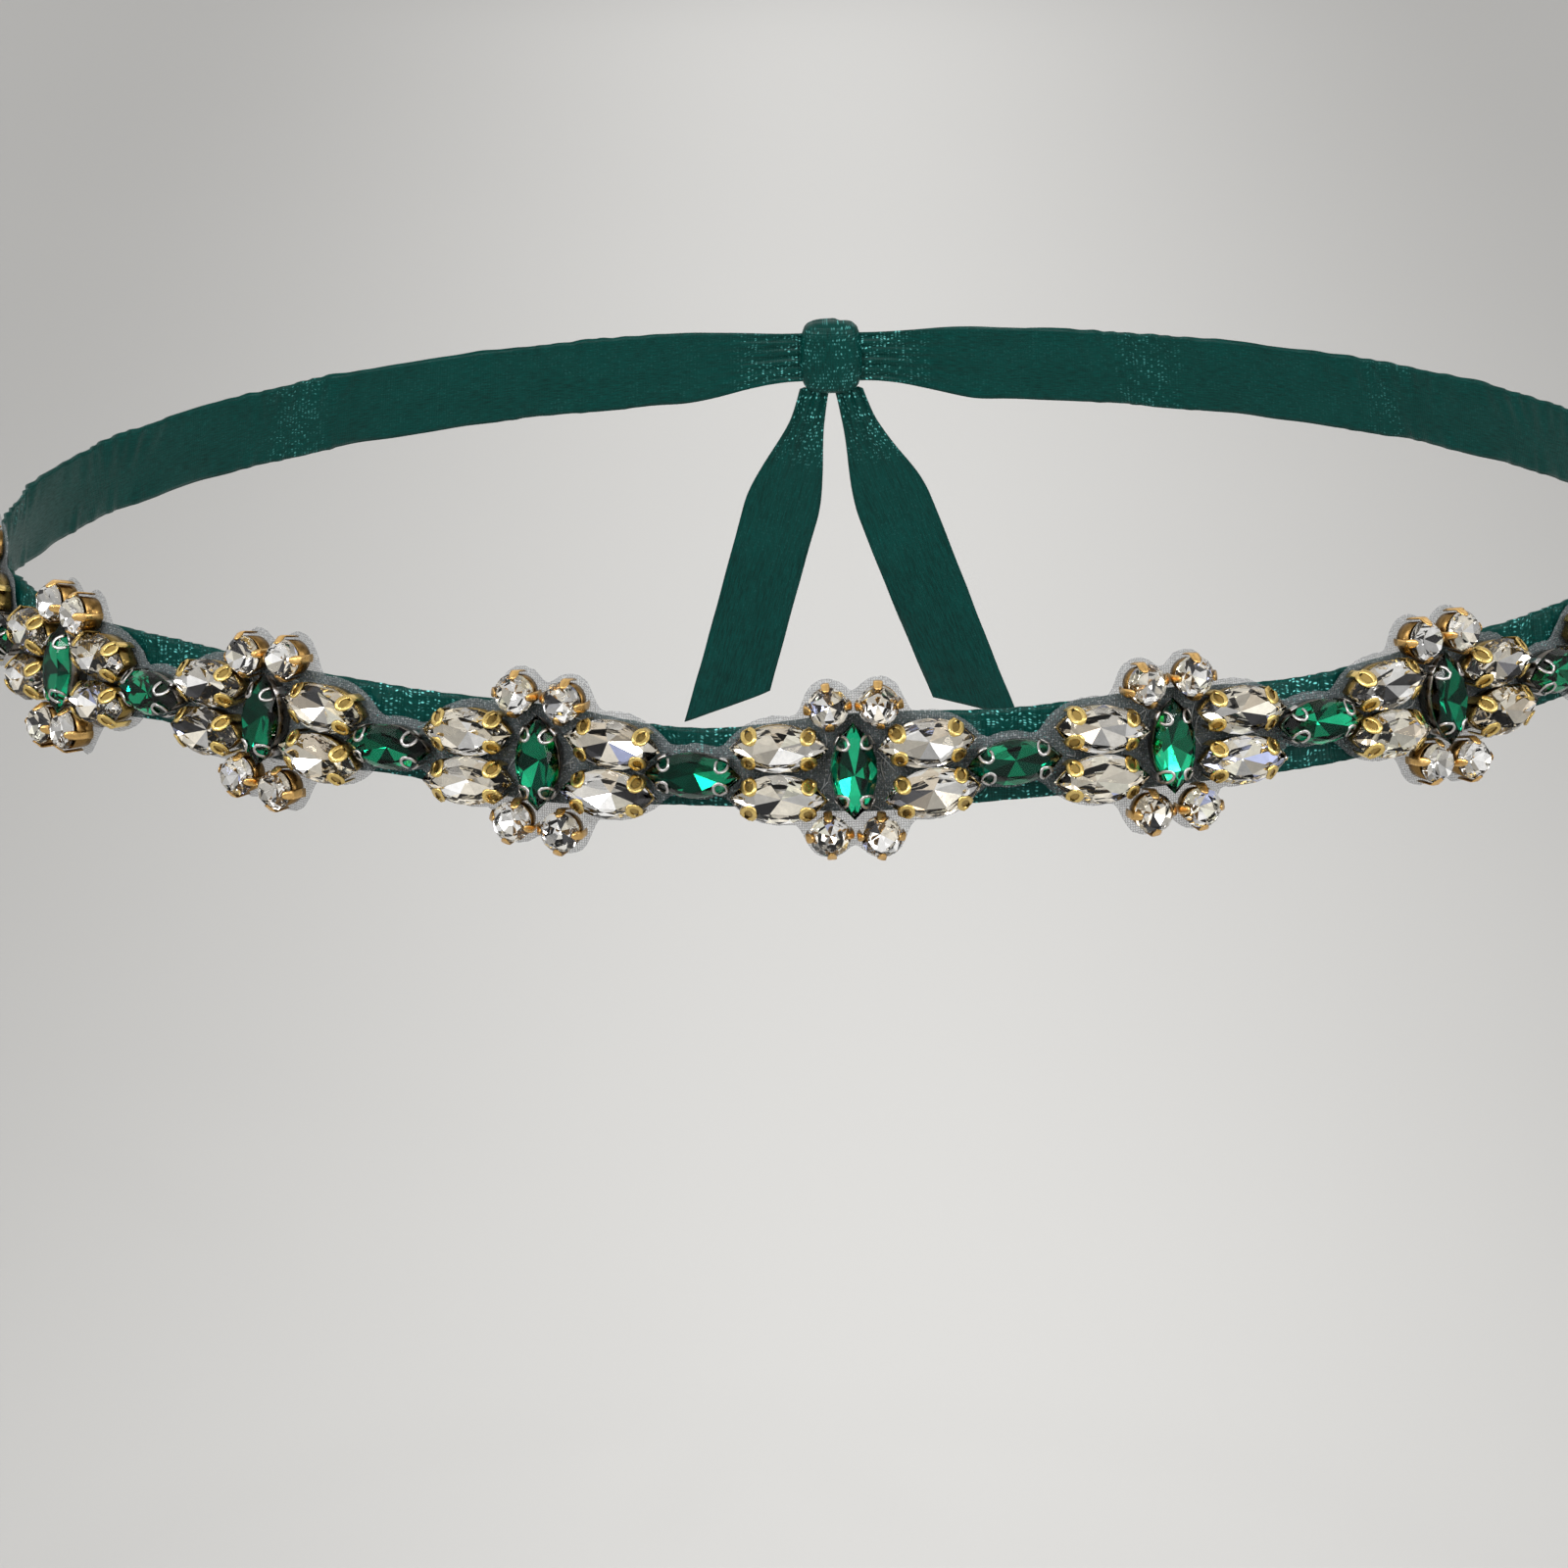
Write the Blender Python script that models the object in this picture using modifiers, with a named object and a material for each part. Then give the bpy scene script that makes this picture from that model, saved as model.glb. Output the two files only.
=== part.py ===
"""Bridal sash: a narrow satin ribbon tied round the waist, with a jewelled applique on its front.

Units are metres and +Z is up. The front faces -Y. The origin is the middle of the waist loop,
level with the ribbon's centre line.
"""

import math
from collections import namedtuple

import bmesh
import bpy
import numpy as np
from mathutils import Matrix, Vector

MM = 0.001
UP = Vector((0, 0, 1))

# Waist loop that the sash goes round, and the angle at which it widens below
WAIST_HALF_WIDTH = 145 * MM
WAIST_HALF_DEPTH = 128 * MM
FLARE = math.radians(9)
ARC_STEPS = 1441

# Cloth
CLOTH_WALL = 1 * MM
SEAM_GAP = 0.3 * MM
RIBBON_HALF_WIDTH = 7.5 * MM
RIBBON_ROWS = 7
FRONT_REACH = 215 * MM
FRONT_STEP = 6 * MM
BACK_STEP = 10 * MM

# Knot at centre back, and how the ribbon gathers into it
KNOT_HALF_WIDTH = 6.2 * MM
KNOT_HALF_HEIGHT = 7.5 * MM
KNOT_DEPTH = 7.2 * MM
KNOT_SIDES = 24
KNOT_HALF_RINGS = 3
KNOT_TAPER = 0.55
KNOT_CREASE = 0.07
KNOT_SQUARENESS = 3
GATHER_LENGTH = 24 * MM
GATHERED_HALF_WIDTH = 5 * MM
GATHER_LIFT = 2.6 * MM
PLEAT_HEIGHT = 0.45 * MM

# Tails
TAIL_ROWS = 15
TAIL_TOP_HALF_WIDTH = 2.9 * MM
TAIL_SPREAD_LENGTH = 28 * MM
TAIL_APART = 0.4 * MM
TAIL_LIFT = 2.4 * MM
TAIL_TWIST = 0.9
TAIL_LEAN = math.radians(4)

# Applique
PITCH = 47.6 * MM
BACKING_MARGIN = 1.2 * MM
BACKING_LEAST = 3.4 * MM
BACKING_COLUMNS = 16

# Stones in their cups: half length and half width at the rim, with the base and table as shares of it
CLEAR_CUP_HALF = (7.7 * MM, 3.95 * MM)
GREEN_CUP_HALF = (7.6 * MM, 3.65 * MM)
NAVETTE_BASE = 0.82
NAVETTE_TABLE = 0.56
NAVETTE_RIM_HEIGHT = 2.7 * MM
NAVETTE_HEIGHT = 4.5 * MM
NAVETTE_STATIONS = (0.78, 0.46, 0.0, -0.46, -0.78)
NAVETTE_CLAW_RISE = 0.35 * MM
NAVETTE_CLAW_FACETS = (1, 4, 7, 10)
ROUND_RIM_RADIUS = 3.3 * MM
ROUND_BASE = 0.85
ROUND_TABLE = 0.58
ROUND_RIM_HEIGHT = 3.0 * MM
ROUND_HEIGHT = 4.6 * MM
ROUND_SIDES = 12
ROUND_CLAW_REACH = 3.98 * MM
ROUND_CLAW_RISE = 0.35 * MM
ROUND_CLAW_FACETS = (2, 5, 8, 11)

# Places of the stones from their cluster's centre: along the band and up it
CLEAR_PAIR_ALONG = 11.1 * MM
CLEAR_SPACING = 7.7 * MM
ROUND_PAIR_UP = 9.9 * MM
ROUND_SPACING = 7.8 * MM
PAIR_SKEW = math.radians(1.5)
UPRIGHT = 90

# The band as it is worn. Place counts clusters from centre front, towards +X. Rise is how far the
# centre line strays up, and upper and lower are the ribbon's edges from it, all in millimetres.
Station = namedtuple("Station", "place rise upper lower")
BAND = [
    Station(-5.0, 0.0, 7.5, 7.5),
    Station(-4.5, 0.0, 7.4, 7.3),
    Station(-4.0, -0.6, 8.2, 6.8),
    Station(-3.5, -0.9, 8.0, 5.6),
    Station(-3.0, -0.3, 8.2, 6.8),
    Station(-2.5, 0.9, 8.5, 5.1),
    Station(-2.0, 1.0, 8.2, 6.8),
    Station(-1.5, -0.1, 8.7, 5.1),
    Station(-1.0, -0.3, 8.2, 6.8),
    Station(-0.5, -1.1, 6.5, 5.3),
    Station(0.0, -0.5, 8.2, 6.8),
    Station(0.5, -0.2, 7.7, 6.4),
    Station(1.0, 0.2, 8.2, 6.8),
    Station(1.5, 0.7, 6.5, 7.7),
    Station(2.0, 0.2, 8.2, 6.8),
    Station(2.5, -0.5, 9.0, 5.8),
    Station(3.0, 0.1, 8.2, 6.8),
    Station(3.5, 0.5, 7.6, 6.0),
    Station(4.0, 0.2, 8.2, 6.8),
    Station(4.5, 0.0, 7.4, 7.3),
    Station(5.0, 0.0, 7.5, 7.5),
]

# How each cluster was sewn: shift along the band in millimetres, then the turn of each pair and of
# the centre stone in degrees, anticlockwise as seen from the front
Sewn = namedtuple("Sewn", "cluster shift left right above below centre")
CLUSTER_SEWING = [
    Sewn(-4, 0.3, 2.0, -2.0, 4.0, -3.0, 1.0),
    Sewn(-3, 0.0, 4.0, 1.5, -5.0, 4.0, 1.5),
    Sewn(-2, 0.4, 0.5, -1.0, 5.0, -6.0, -1.0),
    Sewn(-1, 0.0, 2.0, -2.0, -4.5, -7.0, 2.0),
    Sewn(0, -0.3, -2.5, 4.5, 1.0, -2.5, -1.0),
    Sewn(1, 0.0, -4.0, -4.0, 3.0, -1.0, -3.0),
    Sewn(2, 0.1, 2.0, 3.5, 2.0, -6.0, 0.5),
    Sewn(3, -0.2, -1.5, 2.5, -3.0, 4.0, 2.0),
    Sewn(4, 0.2, 1.5, -3.0, 2.0, -4.0, -1.5),
]

# The stones between clusters: shift along the band in millimetres and turn in degrees
Link = namedtuple("Link", "place shift turn")
LINK_SEWING = [
    Link(-3.5, -0.5, 2.0),
    Link(-2.5, 0.3, -3.0),
    Link(-1.5, -0.4, 1.5),
    Link(-0.5, -0.3, -1.0),
    Link(0.5, -0.5, 2.5),
    Link(1.5, 0.5, -1.5),
    Link(2.5, 0.5, 1.0),
    Link(3.5, -0.1, -2.0),
]

# The two loose ends: side, length and slant of the cut in millimetres, splay in degrees, depth of
# the soft wave across it in millimetres, and how many half waves run down it
Tail = namedtuple("Tail", "side length slant splay wave turns")
TAILS = [
    Tail(-1, 77, 5, 19, 1.4, 2.2),
    Tail(1, 73, 6, 15, 1.6, 1.7),
]

Finish = namedtuple("Finish", "colour roughness metallic")
FINISHES = {
    "ribbon_satin": Finish((0.005, 0.125, 0.085), 0.38, 0.0),
    "backing_tulle": Finish((0.30, 0.31, 0.31), 0.75, 0.0),
    "emerald_stone": Finish((0.0, 0.16, 0.08), 0.05, 0.0),
    "clear_stone": Finish((0.72, 0.70, 0.64), 0.04, 0.0),
    "gold_setting": Finish((0.72, 0.45, 0.13), 0.22, 1.0),
    "silver_setting": Finish((0.62, 0.61, 0.60), 0.18, 1.0),
}


def clear_scene():
    for obj in list(bpy.data.objects):
        bpy.data.objects.remove(obj, do_unlink=True)


def make_materials():
    made = {}
    for name, finish in FINISHES.items():
        material = bpy.data.materials.new(name)
        material.use_nodes = True
        shader = material.node_tree.nodes["Principled BSDF"]
        shader.inputs["Base Color"].default_value = (*finish.colour, 1)
        shader.inputs["Roughness"].default_value = finish.roughness
        shader.inputs["Metallic"].default_value = finish.metallic
        material.diffuse_color = (*finish.colour, 1)
        made[name] = material
    return made


def arc_table():
    """Angles round the waist from centre front to centre back, and the distance to each."""
    angles = np.linspace(0, math.pi, ARC_STEPS)
    across = WAIST_HALF_WIDTH * np.sin(angles)
    deep = -WAIST_HALF_DEPTH * np.cos(angles)
    steps = np.hypot(np.diff(across), np.diff(deep))
    return angles, np.concatenate([[0], np.cumsum(steps)])


ANGLES, DISTANCES = arc_table()
HALF_ROUND = float(DISTANCES[-1])


def smooth_step(share):
    share = min(max(share, 0.0), 1.0)
    return share * share * (3 - 2 * share)


def band_value(along, column):
    """A column of BAND at a distance along the band, on a smooth curve through its rows."""
    place = along / PITCH
    if not BAND[0].place < place < BAND[-1].place:
        return getattr(BAND[0], column) * MM
    after = next(i for i, row in enumerate(BAND) if row.place >= place)
    rows = [BAND[min(max(after + i, 0), len(BAND) - 1)] for i in (-2, -1, 0, 1)]
    before, start, end, beyond = (getattr(row, column) for row in rows)
    share = (place - rows[1].place) / (rows[2].place - rows[1].place)
    lean_start = (end - before) / 2
    lean_end = (beyond - start) / 2
    square = share * share
    cube = square * share
    value = (
        (2 * cube - 3 * square + 1) * start
        + (cube - 2 * square + share) * lean_start
        + (3 * square - 2 * cube) * end
        + (cube - square) * lean_end
    )
    return value * MM


def band_slope(along):
    """Angle at which the band's centre line climbs there."""
    step = 1 * MM
    return math.atan2(band_value(along + step, "rise") - band_value(along - step, "rise"), 2 * step)


def band_frame(along):
    """Axes at a distance along the waist: X along the band, Y up it and Z out of it."""
    angle = math.copysign(float(np.interp(abs(along), DISTANCES, ANGLES)), along)
    centre = Vector((WAIST_HALF_WIDTH * math.sin(angle), -WAIST_HALF_DEPTH * math.cos(angle), 0))
    forward = Vector((WAIST_HALF_WIDTH * math.cos(angle), WAIST_HALF_DEPTH * math.sin(angle), 0))
    forward.normalize()
    level_out = Vector((forward.y, -forward.x, 0))
    out = level_out * math.cos(FLARE) + UP * math.sin(FLARE)
    up = UP * math.cos(FLARE) - level_out * math.sin(FLARE)
    frame = Matrix((forward, up, out)).transposed().to_4x4()
    frame.translation = centre + up * band_value(along, "rise")
    return frame


def on_band(along, up, out):
    return band_frame(along) @ Vector((0, up, out))


def new_object(name, mesh, collection):
    obj = bpy.data.objects.new(name, mesh)
    collection.objects.link(obj)
    return obj


def cloth(name, grid, material, collection):
    """A cloth wall on a grid of points, thickened away from the body."""
    bm = bmesh.new()
    rows = [[bm.verts.new(point) for point in row] for row in grid]
    for row, after in zip(rows, rows[1:]):
        for i in range(len(row) - 1):
            bm.faces.new((row[i], after[i], after[i + 1], row[i + 1]))
    mesh = bpy.data.meshes.new(name)
    bm.to_mesh(mesh)
    bm.free()
    mesh.shade_smooth()
    mesh.materials.append(material)
    obj = new_object(name, mesh, collection)
    wall = obj.modifiers.new("wall", "SOLIDIFY")
    wall.thickness = CLOTH_WALL
    wall.offset = 1
    return obj


def gather(along):
    """How far the ribbon is gathered there, from 0 to 1 where it meets the knot."""
    end = HALF_ROUND - KNOT_HALF_WIDTH - SEAM_GAP
    return smooth_step(1 - (end - abs(along)) / GATHER_LENGTH)


def ribbon_point(along, across):
    """Point of the ribbon's inner face, across from -1 at its lower edge to 1 at its upper."""
    edge = band_value(along, "upper" if across > 0 else "lower")
    gathered = gather(along)
    height = across * (edge + (GATHERED_HALF_WIDTH - edge) * gathered)
    pleat = PLEAT_HEIGHT * (1 + math.cos(2 * math.pi * across))
    return on_band(along, height, gathered * (GATHER_LIFT + pleat))


def ribbon_stations():
    """Distances along the waist at which the ribbon has a section, close together in front."""
    end = HALF_ROUND - KNOT_HALF_WIDTH - SEAM_GAP
    front = np.linspace(0, FRONT_REACH, round(FRONT_REACH / FRONT_STEP) + 1)
    plain_end = end - GATHER_LENGTH
    back = np.linspace(FRONT_REACH, plain_end, round((plain_end - FRONT_REACH) / BACK_STEP) + 1)
    gathered = np.linspace(plain_end, end, round(GATHER_LENGTH / FRONT_STEP) + 1)
    right = [*front[1:], *back[1:], *gathered[1:]]
    return [-s for s in reversed(right)] + [0.0] + right


def make_ribbon(materials, collection):
    across = np.linspace(-1, 1, RIBBON_ROWS)
    grid = [[ribbon_point(s, float(t)) for t in across] for s in ribbon_stations()]
    cloth("ribbon_band", grid, materials["ribbon_satin"], collection)


def knot_ring(height, frame):
    """One level of the knot: a rounded outline, fuller in the middle, with two soft creases."""
    share = height / KNOT_HALF_HEIGHT
    fullness = math.sqrt(1 - KNOT_TAPER * share * share)
    points = []
    for i in range(KNOT_SIDES):
        angle = 2 * math.pi * i / KNOT_SIDES
        aside, outward = math.cos(angle), math.sin(angle)
        roundness = abs(aside) ** KNOT_SQUARENESS + abs(outward) ** KNOT_SQUARENESS
        crease = KNOT_CREASE * max(0.0, math.cos(3 * angle + 1.5 * share)) * max(0.0, outward)
        reach = fullness * roundness ** (-1 / KNOT_SQUARENESS) * (1 - crease)
        out = SEAM_GAP + KNOT_DEPTH / 2 * (1 + reach * outward)
        points.append(frame @ Vector((KNOT_HALF_WIDTH * reach * aside, height, out)))
    return points


def add_loft(bm, rings):
    """Skin over a stack of rings with equally many points, closed flat at both ends."""
    loops = [[bm.verts.new(point) for point in ring] for ring in rings]
    bands = []
    for lower, upper in zip(loops, loops[1:]):
        band = []
        for i in range(len(lower)):
            after = (i + 1) % len(lower)
            band.append(bm.faces.new((lower[i], lower[after], upper[after], upper[i])))
        bands.append(band)
    bm.faces.new(list(reversed(loops[0])))
    bm.faces.new(loops[-1])
    bmesh.ops.recalc_face_normals(bm, faces=bm.faces[:])
    return bands


def make_knot(materials, collection):
    frame = band_frame(HALF_ROUND)
    levels = range(-KNOT_HALF_RINGS, KNOT_HALF_RINGS + 1)
    rings = []
    for level in levels:
        height = KNOT_HALF_HEIGHT * math.sin(math.pi / 2 * level / KNOT_HALF_RINGS)
        rings.append(knot_ring(height, frame))
    bm = bmesh.new()
    add_loft(bm, rings)
    mesh = bpy.data.meshes.new("ribbon_knot")
    bm.to_mesh(mesh)
    bm.free()
    mesh.shade_smooth()
    mesh.materials.append(materials["ribbon_satin"])
    new_object("ribbon_knot", mesh, collection)


def tail_point(tail, share, across, frame):
    """Point of a tail's inner face, share down its length and across from -1 to 1."""
    length = (tail.length + tail.slant * tail.side * across) * MM * share
    splay = math.radians(tail.splay)
    spread = smooth_step(length / TAIL_SPREAD_LENGTH)
    half_width = TAIL_TOP_HALF_WIDTH + (RIBBON_HALF_WIDTH - TAIL_TOP_HALF_WIDTH) * spread
    wave = math.sin(math.pi * tail.turns * share + TAIL_TWIST * across) * spread * share
    curl = tail.wave * MM * wave
    pleat = PLEAT_HEIGHT * math.cos(math.pi * across) * (1 - spread)
    start = TAIL_TOP_HALF_WIDTH + TAIL_APART
    side = tail.side * (start + length * math.sin(splay)) + across * half_width * math.cos(splay)
    drop = KNOT_HALF_HEIGHT + SEAM_GAP + length * math.cos(splay)
    drop -= tail.side * across * half_width * math.sin(splay) * spread
    out = TAIL_LIFT + length * math.tan(TAIL_LEAN) + tail.wave * MM * spread + curl + pleat
    return frame @ Vector((side, -drop, out))


def make_tails(materials, collection):
    frame = band_frame(HALF_ROUND)
    across = np.linspace(-1, 1, RIBBON_ROWS)
    for tail, name in zip(TAILS, ("ribbon_tail_right", "ribbon_tail_left")):
        shares = np.linspace(1, 0, TAIL_ROWS)
        grid = [[tail_point(tail, float(s), -float(t), frame) for s in shares] for t in across]
        cloth(name, grid, materials["ribbon_satin"], collection)


def lens_half_width(along, half):
    """Half width of a navette outline, which is two equal arcs, at a distance along it."""
    half_length, half_width = half
    if abs(along) >= half_length:
        return 0.0
    radius = (half_length**2 + half_width**2) / (2 * half_width)
    return math.sqrt(radius**2 - along**2) - (radius - half_width)


def navette_ring(half, scale, height):
    """Twelve points of a navette outline: its two tips and five down each side."""
    half_length, half_width = half[0] * scale, half[1] * scale
    stations = [share * half_length for share in NAVETTE_STATIONS]
    upper = [(x, lens_half_width(x, (half_length, half_width))) for x in stations]
    lower = [(-x, -y) for x, y in upper]
    outline = [(half_length, 0.0), *upper, (-half_length, 0.0), *lower]
    return [Vector((x, y, height)) for x, y in outline]


def round_ring(radius, height):
    """A ring whose flats face along the axes, so that a claw stands on each of those."""
    half_step = math.pi / ROUND_SIDES
    angles = [half_step + 2 * half_step * i for i in range(ROUND_SIDES)]
    return [Vector((radius * math.cos(a), radius * math.sin(a), height)) for a in angles]


def raise_navette_claws(bm, _wall, crown):
    """Claws over the four shoulders: crown facets raised straight up."""
    shoulders = [crown[i] for i in NAVETTE_CLAW_FACETS]
    raised = bmesh.ops.extrude_discrete_faces(bm, faces=shoulders)["faces"]
    for face in raised:
        bmesh.ops.translate(bm, verts=list(face.verts), vec=(0, 0, NAVETTE_CLAW_RISE))
        face.material_index = 0
        for edge in face.edges:
            for side in edge.link_faces:
                side.material_index = 0


def raise_round_claws(bm, wall, crown):
    """Claws up the cup and over the crown, on the four flats that face along the axes."""
    claw_out = ROUND_CLAW_REACH - ROUND_RIM_RADIUS * math.cos(math.pi / ROUND_SIDES)
    for i in ROUND_CLAW_FACETS:
        flats = [wall[i], crown[i]]
        facing = wall[i].calc_center_median()
        outward = Vector((facing.x, facing.y, 0)).normalized() * claw_out
        result = bmesh.ops.extrude_face_region(bm, geom=flats)["geom"]
        for vert in [item for item in result if isinstance(item, bmesh.types.BMVert)]:
            on_table = vert.co.z > (ROUND_RIM_HEIGHT + ROUND_HEIGHT) / 2
            vert.co += Vector((0, 0, ROUND_CLAW_RISE)) if on_table else outward
        for item in result:
            if isinstance(item, bmesh.types.BMFace):
                item.material_index = 0
        bmesh.ops.delete(bm, geom=flats, context="FACES")


def stone_mesh(name, rings, raise_claws, slots):
    """A stone in its cup. The wall and claws take the first slot, crown and table the second."""
    bm = bmesh.new()
    wall, crown = add_loft(bm, rings)
    for face in crown:
        face.material_index = 1
    bm.faces.ensure_lookup_table()
    bm.faces[-1].material_index = 1
    raise_claws(bm, wall, crown)
    bmesh.ops.recalc_face_normals(bm, faces=bm.faces[:])
    mesh = bpy.data.meshes.new(name)
    bm.to_mesh(mesh)
    bm.free()
    for slot in slots:
        mesh.materials.append(slot)
    return mesh


def navette_mesh(name, cup_half, slots):
    rings = [
        navette_ring(cup_half, NAVETTE_BASE, 0),
        navette_ring(cup_half, 1, NAVETTE_RIM_HEIGHT),
        navette_ring(cup_half, NAVETTE_TABLE, NAVETTE_HEIGHT),
    ]
    return stone_mesh(name, rings, raise_navette_claws, slots)


def round_mesh(name, slots):
    rings = [
        round_ring(ROUND_RIM_RADIUS * ROUND_BASE, 0),
        round_ring(ROUND_RIM_RADIUS, ROUND_RIM_HEIGHT),
        round_ring(ROUND_RIM_RADIUS * ROUND_TABLE, ROUND_HEIGHT),
    ]
    return stone_mesh(name, rings, raise_round_claws, slots)


def joined_pair(name, mesh, offset, cutters):
    """One mesh of two stones whose cups touch, each at an offset from the middle and a little askew."""
    stones = []
    for side in (1, -1):
        stone = new_object(f"{name}_copy", mesh, cutters)
        skew = Matrix.Rotation(PAIR_SKEW * side, 4, "Z")
        stone.matrix_world = Matrix.Translation(offset * side) @ skew
        stones.append(stone)
    first, second = stones
    union = first.modifiers.new("union", "BOOLEAN")
    union.operation = "UNION"
    union.solver = "EXACT"
    union.object = second
    bpy.context.view_layer.update()
    evaluated = first.evaluated_get(bpy.context.evaluated_depsgraph_get())
    pair = bpy.data.meshes.new_from_object(evaluated)
    pair.name = name
    pair.transform(first.matrix_world)
    for stone in stones:
        bpy.data.objects.remove(stone, do_unlink=True)
    return pair


def stone_seat():
    """Height of the cups' undersides over the body: ribbon, seam gap, backing, seam gap."""
    return 2 * (CLOTH_WALL + SEAM_GAP)


def seat_stone(name, mesh, along, up, turn, collection):
    """Stand a stone or a pair of them on the band, turned anticlockwise as seen from outside."""
    obj = new_object(name, mesh, collection)
    spin = Matrix.Rotation(math.radians(turn) + band_slope(along), 4, "Z")
    obj.matrix_world = band_frame(along) @ Matrix.Translation((0, up, stone_seat())) @ spin
    return obj


def make_stones(materials, collection, cutters):
    gold = (materials["gold_setting"], materials["clear_stone"])
    silver = (materials["silver_setting"], materials["emerald_stone"])
    green = navette_mesh("green_navette", GREEN_CUP_HALF, silver)
    clear = navette_mesh("clear_navette", CLEAR_CUP_HALF, gold)
    clear_pair = joined_pair("clear_pair", clear, Vector((0, CLEAR_SPACING / 2, 0)), cutters)
    small = round_mesh("round", gold)
    round_pair = joined_pair("round_pair", small, Vector((ROUND_SPACING / 2, 0, 0)), cutters)
    for number, sewn in enumerate(CLUSTER_SEWING, start=1):
        middle = sewn.cluster * PITCH + sewn.shift * MM
        pieces = [
            ("centre_stone", green, 0, 0, sewn.centre + UPRIGHT),
            ("crystal_pair_left", clear_pair, -CLEAR_PAIR_ALONG, 0, sewn.left),
            ("crystal_pair_right", clear_pair, CLEAR_PAIR_ALONG, 0, sewn.right),
            ("round_pair_top", round_pair, 0, ROUND_PAIR_UP, sewn.above),
            ("round_pair_bottom", round_pair, 0, -ROUND_PAIR_UP, sewn.below),
        ]
        for name, mesh, aside, up, turn in pieces:
            seat_stone(f"{name}_{number}", mesh, middle + aside, up, turn, collection)
    for number, link in enumerate(LINK_SEWING, start=1):
        along = link.place * PITCH + link.shift * MM
        seat_stone(f"link_stone_{number}", green, along, 0, link.turn, collection)


def backing_reach(along):
    """Half height of the backing: its margin beyond whichever stone stands highest there."""
    half = (CLEAR_CUP_HALF[0] + BACKING_MARGIN, CLEAR_CUP_HALF[1] + BACKING_MARGIN)
    radius = ROUND_RIM_RADIUS + BACKING_MARGIN
    reach = BACKING_LEAST
    for sewn in CLUSTER_SEWING:
        middle = sewn.cluster * PITCH + sewn.shift * MM
        for side in (-1, 1):
            aside = along - middle - side * CLEAR_PAIR_ALONG
            if abs(aside) < half[0]:
                reach = max(reach, CLEAR_SPACING / 2 + lens_half_width(aside, half))
            aside = along - middle - side * ROUND_SPACING / 2
            if abs(aside) < radius:
                reach = max(reach, ROUND_PAIR_UP + math.sqrt(radius**2 - aside**2))
    for link in LINK_SEWING:
        aside = along - link.place * PITCH - link.shift * MM
        reach = max(reach, lens_half_width(aside, half))
    return reach


def make_backing(materials, collection):
    last = CLUSTER_SEWING[-1].cluster * PITCH
    end = last + CLEAR_PAIR_ALONG + CLEAR_CUP_HALF[0] + BACKING_MARGIN
    columns = np.linspace(-end, end, round(2 * end / PITCH * BACKING_COLUMNS) + 1)
    out = CLOTH_WALL + SEAM_GAP
    grid = []
    for along in columns.tolist():
        reach = backing_reach(along)
        grid.append([on_band(along, side * reach, out) for side in (-1, 0, 1)])
    cloth("backing", grid, materials["backing_tulle"], collection)


def main():
    clear_scene()
    materials = make_materials()
    sash = bpy.data.collections.new("bridal_sash")
    cutters = bpy.data.collections.new("joining_copies")
    for collection in (sash, cutters):
        bpy.context.scene.collection.children.link(collection)
    make_ribbon(materials, sash)
    make_knot(materials, sash)
    make_tails(materials, sash)
    make_backing(materials, sash)
    make_stones(materials, sash, cutters)


main()
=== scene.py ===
"""Bridal sash: looks of the satin ribbon, its mesh backing, and the stones in their cups."""

import math
from collections import namedtuple

import bpy
import numpy as np
from bpy.props import FloatProperty, FloatVectorProperty, PointerProperty
from mathutils import Matrix, Quaternion, Vector


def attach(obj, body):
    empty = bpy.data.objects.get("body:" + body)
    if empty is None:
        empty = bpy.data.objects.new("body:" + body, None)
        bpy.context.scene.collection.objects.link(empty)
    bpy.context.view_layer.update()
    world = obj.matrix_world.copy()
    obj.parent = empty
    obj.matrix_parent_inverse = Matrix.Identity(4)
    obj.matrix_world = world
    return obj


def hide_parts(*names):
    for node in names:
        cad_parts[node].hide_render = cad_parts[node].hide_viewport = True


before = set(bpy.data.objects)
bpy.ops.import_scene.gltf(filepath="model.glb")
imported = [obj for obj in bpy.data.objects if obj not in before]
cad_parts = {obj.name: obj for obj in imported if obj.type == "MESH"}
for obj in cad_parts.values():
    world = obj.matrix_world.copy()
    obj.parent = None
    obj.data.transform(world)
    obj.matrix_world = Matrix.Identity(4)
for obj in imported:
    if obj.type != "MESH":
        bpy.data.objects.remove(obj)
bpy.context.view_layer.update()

bl_info = {
    "name": "Bridal sash",
    "version": (1, 0, 0),
    "blender": (4, 5, 0),
    "location": "3D View > Sidebar > Sash",
    "description": "Satin ribbon sash with a sewn band of stones",
    "category": "Object",
}

MM = 0.001

# Worn loop, as the solids have it
WAIST_HALF_WIDTH = 145 * MM
WAIST_HALF_DEPTH = 128 * MM
FLARE = math.radians(9)
ARC_STEPS = 1441
KNOT_HALF_WIDTH = 6.2 * MM
KNOT_HALF_HEIGHT = 7.5 * MM
KNOT_DEPTH = 7.2 * MM
KNOT_SQUARENESS = 3
KNOT_PINCH = 0.55
SEAM_GAP = 0.3 * MM
GATHER_LENGTH = 24 * MM
GATHERED_HALF_WIDTH = 5 * MM
GATHER_LIFT = 2.6 * MM
TAIL_TOP_HALF_WIDTH = 2.9 * MM
TAIL_SPREAD_LENGTH = 28 * MM
TAIL_APART = 0.4 * MM
TAIL_LIFT = 2.4 * MM
TAIL_TWIST = 0.9
TAIL_LEAN = math.radians(4)
RIBBON_HALF_WIDTH = 7.5 * MM
RIBBON_COLUMNS = 19
SELVEDGE_RISE = 0.07 * MM
SELVEDGE_START = 0.93
PLEAT_DEPTH = 0.9 * MM
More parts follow.
